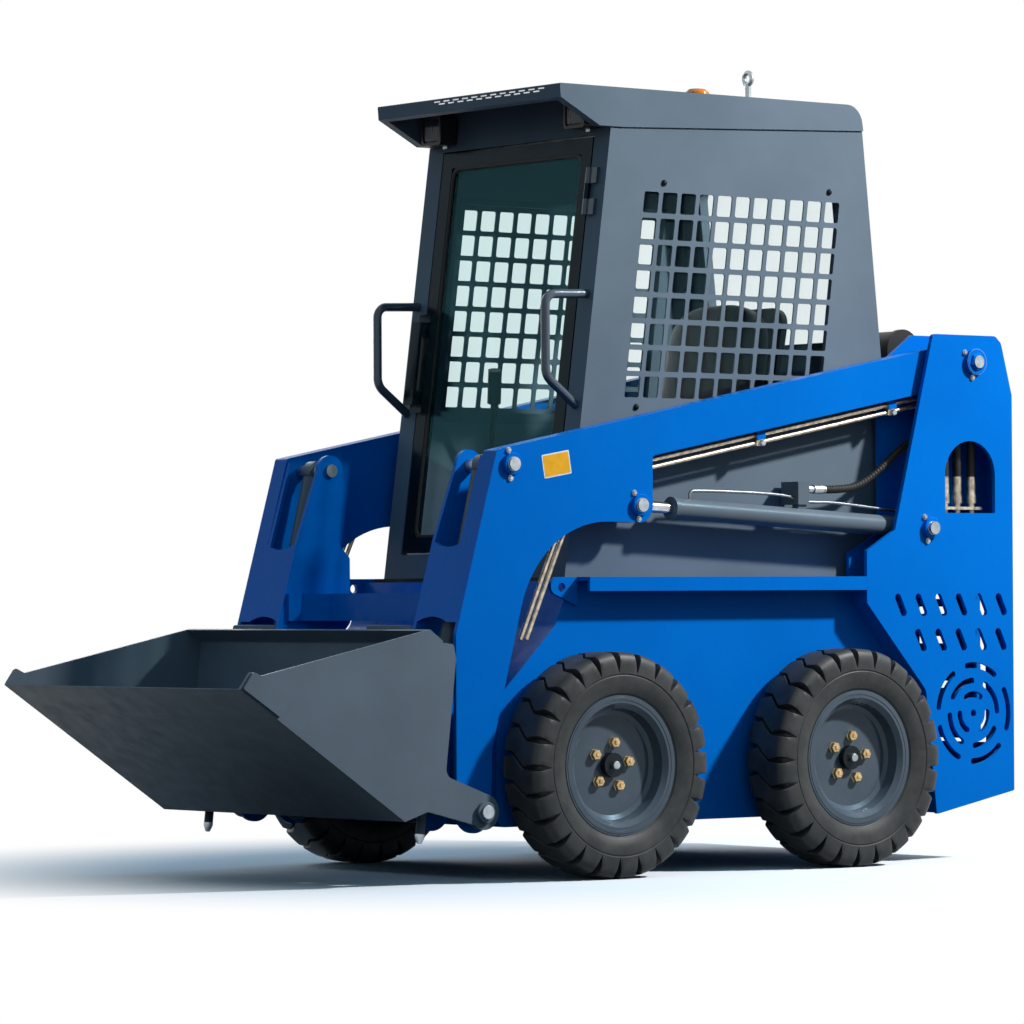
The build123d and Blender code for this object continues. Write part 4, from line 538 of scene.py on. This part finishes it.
door_tint = window_glass("door_tint", (0.88, 0.96, 0.96), 0.02, (0.10, 0.30, 0.34))
pane_tint = window_glass("pane_tint", (0.97, 0.99, 0.99), 0.03, (0.12, 0.25, 0.28))
dress(door_tint, "door_glass")
dress(pane_tint, "side_glass", "rear_glass")
# the front leans back by this much for each metre of height, from its foot on the ledges
CAB_LEAN = 0.139
CAB_FOOT_X, CAB_FOOT_Z = 0.186, 0.785
CAB_SIDE_Y = 0.395


def front_x(z):
    """Where the cab's leaning front stands at height z."""
    return CAB_FOOT_X - CAB_LEAN * (z - CAB_FOOT_Z)


def rounded_loop(wide, high, radius, count=6):
    """Closed rounded rectangle: the four corner centres plus a radius swept through a quarter turn each."""
    angle = (np.arange(4)[:, None] * 90 + np.linspace(0, 90, count)) * np.pi / 180
    cx = np.sign(np.cos(np.radians(45 + 90 * np.arange(4))))[:, None] * (wide / 2 - radius)
    cz = np.sign(np.sin(np.radians(45 + 90 * np.arange(4))))[:, None] * (high / 2 - radius)
    outward = np.stack([np.cos(angle), np.sin(angle)], -1).reshape(-1, 2)
    return np.stack([cx + radius * np.cos(angle), cz + radius * np.sin(angle)], -1).reshape(-1, 2), outward


def rounded_pad(centres, across, up, wide, high, radius, thick, edge=0.001):
    """Flat-topped pads with rounded corners and a rolled edge: rows step in from the foot to the middle, and
    each row is a rounded rectangle in the plane of the two directions."""
    loop, outward = rounded_loop(wide, high, radius)
    across, up = np.asarray(across, float), np.asarray(up, float)
    normal = np.cross(across, up)
    rows = [(0.0, 1.0, 0.0), (0.0, 0.0, 0.0), (thick - edge, 0.0, 0.0), (thick, 0.0, edge),
            (thick, 1.0, 0.0)]
    grid = []
    for height, closed, inset in rows:
        flat = (loop - outward * inset) * (1 - closed)
        grid.append(flat[:, :1] * across + flat[:, 1:] * up + height * normal)
    return np.asarray(centres, float).reshape(-1, 1, 1, 3) + np.array(grid)


# a round-headed cap screw by each corner of each grille
screw_spots = np.array([(-0.163, CAB_SIDE_Y, 1.838), (-0.755, CAB_SIDE_Y, 1.841),
                        (-0.061, CAB_SIDE_Y, 1.237), (-0.655, CAB_SIDE_Y, 1.237)])
for side, out in SIDES:
    skin(f"cab_screws_{side}", turned(
        [(-0.001, 0), (-0.001, 0.0085), (0.002, 0.0085), (0.0055, 0.0062), (0.007, 0.003), (0.007, 0)],
        screw_spots * (1, out, 1), (0, out, 0), 20), satin_black, "machine")
# pale plated pads along the visor's lip, in two staggered rows: painted light, their bright metal stands in
# for the daylight seen through the pressed slots
slot_y = np.concatenate([0.041 * np.arange(12) - 0.130, 0.041 * np.arange(11) - 0.110])
slot_z = np.concatenate([np.full(12, 2.0765), np.full(11, 2.0700)])
lip = np.stack([0.1972 - 0.08 * (2.085 - slot_z), slot_y, slot_z], -1)
slot_light_stand_in = plated("slot_light_stand_in", (0.75, 0.77, 0.78), 0.35)
skin("visor_slots", rounded_pad(lip, (0, 1, 0), (0, 0, 1), 0.026, 0.0036, 0.0015, 0.0010, 0.0003),
     slot_light_stand_in, "machine")

# ---- cab door ----
# Black steel frame round one tinted pane that is bonded in with a rubber seal.
# Two lift-off hinges carry it on the left pillar.
seal_rubber = moulded_rubber("seal_rubber", (0.012, 0.012, 0.013), (0.022, 0.022, 0.022), 0.5)
door_black = coated_metal("door_black", (0.006, 0.012, 0.015), (0.004, 0.008, 0.010), 0.16, 0.0)
dress(door_black, "door_frame", "door_handle")
lean_up = np.array((-CAB_LEAN, 0.0, 1.0)) / math.hypot(CAB_LEAN, 1)
lean_out = np.array((1.0, 0.0, CAB_LEAN)) / math.hypot(CAB_LEAN, 1)


def seal_band(middle, wide, high, radius, bead):
    """Rubber bead round a pane in the door's leaning plane: a small rounded section carried round a
    rounded rectangle, its height along the normal and its width along the loop's outward direction."""
    loop, outward = rounded_loop(wide, high, radius, 8)
    turn_round = np.linspace(0, 2 * np.pi, 9)[:-1]
    rows = []
    for angle in turn_round:
        spread = loop + outward * bead * np.cos(angle)
        rows.append(middle + spread[:, :1] * np.array((0, 1.0, 0)) + spread[:, 1:] * lean_up
                    + lean_out * bead * 0.7 * np.sin(angle))
    return np.array(rows)


DOOR_MIDDLE_Z = 1.406
door_middle = np.array((front_x(DOOR_MIDDLE_Z) - 0.006, 0.0, DOOR_MIDDLE_Z))
skin("door_seal", seal_band(door_middle, 0.566, 1.026, 0.03, 0.007), seal_rubber, "cab_door",
     wrap=(True, True))

# ---- grab handles ----
# Bent round tube welded to each front pillar, in a glossier coat of the cab's grey.
tube_slate = coated_metal("tube_slate", (0.085, 0.105, 0.130), (0.070, 0.088, 0.108), 0.16, 0.5)
dress(tube_slate, "grab_handles", "door_hinges")

# ---- work lights, beacon and lifting eye ----
# Moulded black lamps under the visor with a dark fluted lens each; an amber beacon on a black base; and
# a zinc plated eye bolt.


def moulded_plastic(name, colour, dull, clear=0.0):
    """Moulded plastic: a fine spark-eroded grain, and a little light through it where it is clear."""
    material = bpy.data.materials.new(name)
    material.use_nodes = True
    tree = material.node_tree
    shader = tree.nodes["Principled BSDF"]
    place = tree.nodes.new("ShaderNodeTexCoord")
    grain = tree.nodes.new("ShaderNodeTexNoise")
    grain.inputs["Scale"].default_value = 500.0
    shades = tree.nodes.new("ShaderNodeValToRGB")
    shades.color_ramp.elements[0].color = (*(c * 0.8 for c in colour), 1.0)
    shades.color_ramp.elements[1].color = (*colour, 1.0)
    bump = tree.nodes.new("ShaderNodeBump")
    bump.inputs["Strength"].default_value = 0.2
    bump.inputs["Distance"].default_value = 0.0005
    shader.inputs["Roughness"].default_value = dull
    shader.inputs["Specular IOR Level"].default_value = 0.3
    shader.inputs["Transmission Weight"].default_value = clear
    wire(tree, place.outputs["Object"], grain.inputs["Vector"])
    wire(tree, grain.outputs["Fac"], shades.inputs["Fac"])
    wire(tree, shades.outputs["Color"], shader.inputs["Base Color"])
    wire(tree, grain.outputs["Fac"], bump.inputs["Height"])
    wire(tree, bump.outputs["Normal"], shader.inputs["Normal"])
    return material


lamp_black = moulded_plastic("lamp_black", (0.012, 0.012, 0.013), 0.45)
lens_clear = moulded_plastic("lens_clear", (0.10, 0.11, 0.12), 0.06)
amber = moulded_plastic("amber_plastic", (0.86, 0.25, 0.01), 0.15, 0.35)
dress(lamp_black, "work_lights", "seat_box")
dress(amber, "beacon")
dress(zinc, "lifting_eye")
LAMP_Y, LAMP_Z = 0.312, 2.018


def lens_grid(y):
    """Lamp lens: a rounded square whose face swells out and carries fine upright flutes."""
    u, v = np.meshgrid(np.linspace(-1, 1, 65), np.linspace(-1, 1, 33), indexing="ij")
    flute = 0.0014 * np.cos(u * 7 * np.pi) * (1 - u ** 8) * (1 - v ** 8)
    x = 0.0765 + 0.0035 * (1 - u ** 4) * (1 - v ** 4) + flute - 0.0035 * (np.abs(u) ** 12 + np.abs(v) ** 12)
    pull = 1 - 0.09 * u ** 6 * v ** 6
    return np.stack([x, y + 0.0348 * u * pull, LAMP_Z + 0.0318 * v * pull], -1)


skin("lamp_lenses", [lens_grid(LAMP_Y), lens_grid(-LAMP_Y)], lens_clear, "machine",
     wrap=(False, False))
skin("lamp_bolts", turned([(0, 0), (0, 0.007), (0.006, 0.007), (0.007, 0.006), (0.007, 0)],
                          both_sides([(0.030, LAMP_Y, 1.9775)]), (0, 0, -1), 6),
     zinc, "machine", crease=20)
skin("beacon_base", turned([(0, 0.0), (0, 0.0468), (0.009, 0.0468), (0.0125, 0.0435), (0.0125, 0.0)],
                           [(-0.618, 0, 2.0853)], (0, 0, 1), 48), lamp_black, "machine")

# ---- seat and levers ----
# A high-backed operator's seat in black vinyl: a foam cushion and a foam back, each with sewn channels,
# on a plinth over the seat box. The pads are surfaces in code, with no cloth simulation. Levers are black.


def seat_vinyl(name):
    """Grained black vinyl: small cells bump the surface and a soft sheen lifts its edges."""
    material = bpy.data.materials.new(name)
    material.use_nodes = True
    tree = material.node_tree
    shader = tree.nodes["Principled BSDF"]
    place = tree.nodes.new("ShaderNodeTexCoord")
    cells = tree.nodes.new("ShaderNodeTexVoronoi")
    cells.inputs["Scale"].default_value = 520.0
    wear = tree.nodes.new("ShaderNodeTexNoise")
    wear.inputs["Scale"].default_value = 12.0
    wear.inputs["Detail"].default_value = 6.0
    shades = tree.nodes.new("ShaderNodeValToRGB")
    shades.color_ramp.elements[0].position = 0.35
    shades.color_ramp.elements[0].color = (0.012, 0.012, 0.013, 1.0)
    shades.color_ramp.elements[1].position = 0.75
    shades.color_ramp.elements[1].color = (0.030, 0.030, 0.031, 1.0)
    bump = tree.nodes.new("ShaderNodeBump")
    bump.inputs["Strength"].default_value = 0.35
    bump.inputs["Distance"].default_value = 0.0006
    shader.inputs["Roughness"].default_value = 0.48
    shader.inputs["Specular IOR Level"].default_value = 0.25
    shader.inputs["Sheen Weight"].default_value = 0.15
    for texture in (cells, wear):
        wire(tree, place.outputs["Object"], texture.inputs["Vector"])
    wire(tree, wear.outputs["Fac"], shades.inputs["Fac"])
    wire(tree, shades.outputs["Color"], shader.inputs["Base Color"])
    wire(tree, cells.outputs["Distance"], bump.inputs["Height"])
    wire(tree, bump.outputs["Normal"], shader.inputs["Normal"])
    return material


black_vinyl = seat_vinyl("black_vinyl")


def foam_pad(centre, along, across, length, width, thick, channels):
    """Closed crowned pad, swept from pole to pole along its length: each row is a superellipse whose width
    draws in at the ends and along the sides, with sewn channels pressed across its top."""
    u = np.linspace(-1, 1, 121)[:, None]
    turn_round = np.linspace(0, 2 * np.pi, 97)[:-1][None]
    end = (1 - np.abs(u) ** 5) ** 0.4
    c, s = np.cos(turn_round), np.sin(turn_round)
    side = np.sign(c) * np.abs(c) ** 0.55 * width / 2 * end * (1 - 0.035 * np.cos(u * np.pi / 2))
    rise = np.sign(s) * np.abs(s) ** 0.6 * thick / 2 * end * (1 + 0.22 * np.cos(u * np.pi / 2) * (s > 0))
    for at in channels:
        press = np.exp(-((u - at) / 0.022) ** 2)
        rise = rise - 0.010 * press * np.clip(s, 0, 1) * (1 - np.abs(c) ** 6)
    along, across = np.asarray(along, float), np.asarray(across, float)
    up = np.cross(along, across)
    run = u * length / 2 + 0 * turn_round
    return (np.asarray(centre, float) + run[..., None] * along + side[..., None] * across
            + rise[..., None] * up)


cushion = skin("seat_cushion", foam_pad((-0.490, 0, 1.098), (1, 0, 0), (0, 1, 0), 0.44, 0.40, 0.105,
                                        (-0.45, -0.05, 0.35)), black_vinyl, "machine")
back_lean = np.array((-0.19, 0.0, 0.982))
backrest = skin("seat_back", foam_pad((-0.665, 0, 1.320), back_lean, (0, 1, 0), 0.46, 0.38, 0.110,
                                      (-0.5, -0.1, 0.3)), black_vinyl, "machine")
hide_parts("seat")
skin("seat_shell", rounded_pad([(-0.735, 0, 1.31)], (0, 1, 0), (0.19, 0, -0.982), 0.36, 0.46, 0.05, 0.028,
                               0.008), lamp_black, "machine")
skin("seat_plinth", rounded_pad([(-0.50, 0, 1.031)], (1, 0, 0), (0, 1, 0), 0.38, 0.34, 0.03, 0.030, 0.006),
     lamp_black, "machine")
dress(satin_black, "control_levers")

# ---- engine, hood and rear door ----
# A cast block under the hood, and a louvred door that closes the back between the towers.


def sand_cast(name):
    """Cast iron: coarse sand grain in bump and colour."""
    material = bpy.data.materials.new(name)
    material.use_nodes = True
    tree = material.node_tree
    shader = tree.nodes["Principled BSDF"]
    place = tree.nodes.new("ShaderNodeTexCoord")
    sand = tree.nodes.new("ShaderNodeTexNoise")
    sand.inputs["Scale"].default_value = 160.0
    sand.inputs["Detail"].default_value = 8.0
    shades = tree.nodes.new("ShaderNodeValToRGB")
    shades.color_ramp.elements[0].color = (0.030, 0.031, 0.033, 1.0)
    shades.color_ramp.elements[1].color = (0.075, 0.077, 0.080, 1.0)
    bump = tree.nodes.new("ShaderNodeBump")
    bump.inputs["Strength"].default_value = 0.4
    bump.inputs["Distance"].default_value = 0.001
    shader.inputs["Metallic"].default_value = 0.4
    shader.inputs["Roughness"].default_value = 0.6
    wire(tree, place.outputs["Object"], sand.inputs["Vector"])
    wire(tree, sand.outputs["Fac"], shades.inputs["Fac"])
    wire(tree, shades.outputs["Color"], shader.inputs["Base Color"])
    wire(tree, sand.outputs["Fac"], bump.inputs["Height"])
    wire(tree, bump.outputs["Normal"], shader.inputs["Normal"])
    return material


dress(sand_cast("sand_cast"), "engine_block")
dress(loader_blue, "rear_door")
dress(lamp_black, "air_cleaner")
pipe_steel = plated("pipe_steel", (0.62, 0.55, 0.44), 0.30, 0.35)
hose_rubber = moulded_rubber("hose_rubber", (0.010, 0.010, 0.011), (0.030, 0.029, 0.027), 0.45)
dress(hose_rubber, "tower_hoses")
dress(pipe_steel, "hose_brackets")

# ---- loader arms ----
# Box-section arms cut from plate, in the same blue. Steel feed pipes run under each beam in clamps and
# down behind the front leg. A blank yellow plate is stuck on the outer face.
dress(loader_blue, "arm_left", "arm_right", "arm_crossmember")
dress(pipe_steel, "arm_pipes")


def printed_film(name, ground, shade):
    """Stuck-on film: one soft mottled colour with a fine matt grain."""
    return coated_metal(name, ground, shade, 0.45, 0.1, 0.02, 40.0)


yellow_film = printed_film("yellow_film", (0.86, 0.42, 0.015), (0.78, 0.36, 0.012))
white_film = printed_film("white_film", (0.80, 0.80, 0.78), (0.72, 0.72, 0.70))
# the plate lies along the beam's slope, just proud of the arm's face
FILM_Y = 0.4890
slope = math.radians(9.5)
film_along = np.array((-math.cos(slope), 0, math.sin(slope)))
film_up = np.array((math.sin(slope), 0, math.cos(slope)))
for side, out in SIDES:
    spot = [(0.287, out * FILM_Y, 1.078)]
    run = film_along * (1 if out > 0 else -1)
    skin(f"plate_border_{side}", rounded_pad(spot, run, film_up, 0.092, 0.062, 0.003, 0.0004, 0.0001),
         white_film, "arms")
    skin(f"plate_face_{side}", rounded_pad(spot, run, film_up, 0.085, 0.055, 0.002, 0.0007, 0.0001),
         yellow_film, "arms")

# painted blocks clamp the pipes under each beam, and a zinc nut closes each
CLAMP_FACE_Y = 0.4713
for side, out in SIDES:
    blocks = np.array([(-0.433, out * CLAMP_FACE_Y, 1.1670), (-0.913, out * CLAMP_FACE_Y, 1.2583)])
    run = film_along * (1 if out > 0 else -1)
    skin(f"pipe_blocks_{side}", rounded_pad(blocks, run, film_up, 0.032, 0.026, 0.004, 0.0032),
         loader_blue, "arms")
    skin(f"pipe_nuts_{side}", turned(
        [(0.0, 0.0), (0.0, 0.0088), (0.008, 0.0088), (0.010, 0.0070), (0.010, 0.0)],
        blocks - film_up * 0.023, (0, out, 0), 6), zinc, "arms", crease=20)

# ---- hydraulic cylinders ----
# Barrels painted dark grey, chromed rods, and on each lift barrel a thin grey feed pipe and a ribbed
# black hose. The hose bends when the cylinder swings, so it is given no body here.
cylinder_grey = coated_metal("cylinder_grey", (0.120, 0.148, 0.176), (0.096, 0.121, 0.146), 0.28, 0.1)
dress(cylinder_grey, "lift_barrel_left", "lift_barrel_right", "tilt_barrel_left", "tilt_barrel_right")
rod_chrome = plated("rod_chrome", (0.62, 0.63, 0.65), 0.08)
dress(rod_chrome, "lift_rod_left", "lift_rod_right", "tilt_rod_left", "tilt_rod_right")


def smooth_route(points, count):
    """Quadratic B-spline through a route's inner corners, from its first point to its last: blends of three
    neighbouring points, sampled evenly in its parameter."""
    points = np.asarray(points, float)
    points = np.vstack([2 * points[0] - points[1], points, 2 * points[-1] - points[-2]])
    spans = len(points) - 2
    t = np.linspace(0.5, spans - 0.5, count)
    cell = np.minimum(t.astype(int), spans - 1)
    f = (t - cell)[:, None]
    return (0.5 * (1 - f) ** 2 * points[cell] + (0.5 + f - f * f) * points[cell + 1]
            + 0.5 * f * f * points[cell + 2])


def tube_along(route, radius, sides=16, ribs=0.0, pitch=0.01):
    """Tube of circles carried along a route, closed at both ends. Ribs raise a spiral of that pitch."""
    ahead = np.gradient(route, axis=0)
    length = np.concatenate([[0], np.cumsum(np.linalg.norm(np.diff(route, axis=0), axis=1))])
    ahead /= np.linalg.norm(ahead, axis=1)[:, None]
    helper = np.eye(3)[np.argmin(np.abs(ahead).max(0))]
    first = np.cross(ahead, helper)
    first /= np.linalg.norm(first, axis=1)[:, None]
    second = np.cross(ahead, first)
    angle = np.arange(sides) * 2 * np.pi / sides
    size = radius + ribs * np.sin(2 * np.pi * length[:, None] / pitch + angle)
    size[[0, -1]] = 0
    grid = np.vstack([route[:1], route, route[-1:]])
    spread = (np.cos(angle)[None, :, None] * first[:, None]
              + np.sin(angle)[None, :, None] * second[:, None])
    size = np.vstack([size[:1] * 0, size[1:2], size[1:-1], size[-2:-1], size[-1:] * 0])
    spread = np.vstack([spread[:1], spread, spread[-1:]])
    return grid[:, None] + size[..., None] * spread


FEED_PIPE_Y, VALVE_PORT_Y = 0.4615, 0.455
line_grey = plated("line_grey", (0.20, 0.22, 0.24), 0.30)
for side, out in SIDES:
    y = out * FEED_PIPE_Y
    barrel_body = f"lift_barrel_body_{side}"
    skin(f"lift_pipe_{side}", tube_along(smooth_route(
        [(-0.190, y, 0.992), (-0.190, y, 1.010), (-0.206, y, 1.016), (-0.520, y, 1.008), (-0.575, y, 0.992),
         (-0.620, y, 0.986), (-0.700, y, 0.988), (-0.960, y, 0.962)], 110), 0.0042),
        line_grey, barrel_body)
    # ribbed hose from the valve's port back and up into the tower; it bends as the cylinder swings
    hose = skin(f"valve_hose_{side}", tube_along(smooth_route(
        [(-0.655, out * VALVE_PORT_Y, 1.022), (-0.720, out * VALVE_PORT_Y, 1.022),
         (-0.800, out * 0.454, 1.030), (-0.880, out * 0.453, 1.075),
         (-0.950, out * 0.452, 1.130), (-1.040, out * 0.450, 1.175),
         (-1.130, out * 0.447, 1.175)], 260), 0.0105, 14, 0.0009, 0.011), hose_rubber, None)
    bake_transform(hose)
    skin(f"hose_ferrule_{side}", turned(
        [(0.0, 0.0), (0.0, 0.0105), (0.014, 0.0105), (0.0145, 0.0085), (0.020, 0.0085), (0.0205, 0.0125),
         (0.052, 0.0125), (0.054, 0.011), (0.062, 0.011), (0.062, 0.0)],
        [(-0.614, out * VALVE_PORT_Y, 1.022)], (-1, 0, 0), 24), zinc, barrel_body)

# ---- bucket and coupler ----
# Folded plate bucket with a welded cutting edge and side cutters, on a welded quick coupler, all in one
# dark grey paint.
bucket_grey = coated_metal("bucket_grey", (0.132, 0.162, 0.196), (0.112, 0.139, 0.170), 0.34, 0.0, 0.08,
                           5.0, mirror=0.08)
dress(bucket_grey, "bucket_shell", "bucket_edges", "coupler")
BUCKET_PIN_X, BUCKET_PIN_Z = 0.564, 0.184
# bare steel shows on the bucket pins' ends and on the pointed tips of the locking pins
for side, out in SIDES:
    skin(f"bucket_pin_end_{side}", turned(
        [(-0.005, 0.0), (-0.005, 0.0182), (0.001, 0.0182), (0.003, 0.0162), (0.003, 0.0)],
        [(BUCKET_PIN_X, out * 0.549, BUCKET_PIN_Z)], (0, out, 0), 40), zinc, "bucket")
skin("locking_tips", turned(
    [(-0.006, 0.0), (-0.006, 0.0126), (0.001, 0.0126), (0.018, 0.0060), (0.019, 0.0)],
    both_sides((0.7254, 0.470, 0.1247)), (0.117, 0, -0.993), 32), zinc, "bucket")
# two tabs stand up behind the bucket's top edge
skin("hook_tabs", rounded_pad(both_sides((0.6917, 0.30, 0.6317)), (0, 1, 0), (-0.117, 0, 0.993),
                              0.190, 0.060, 0.008, 0.006), bucket_grey, "bucket")
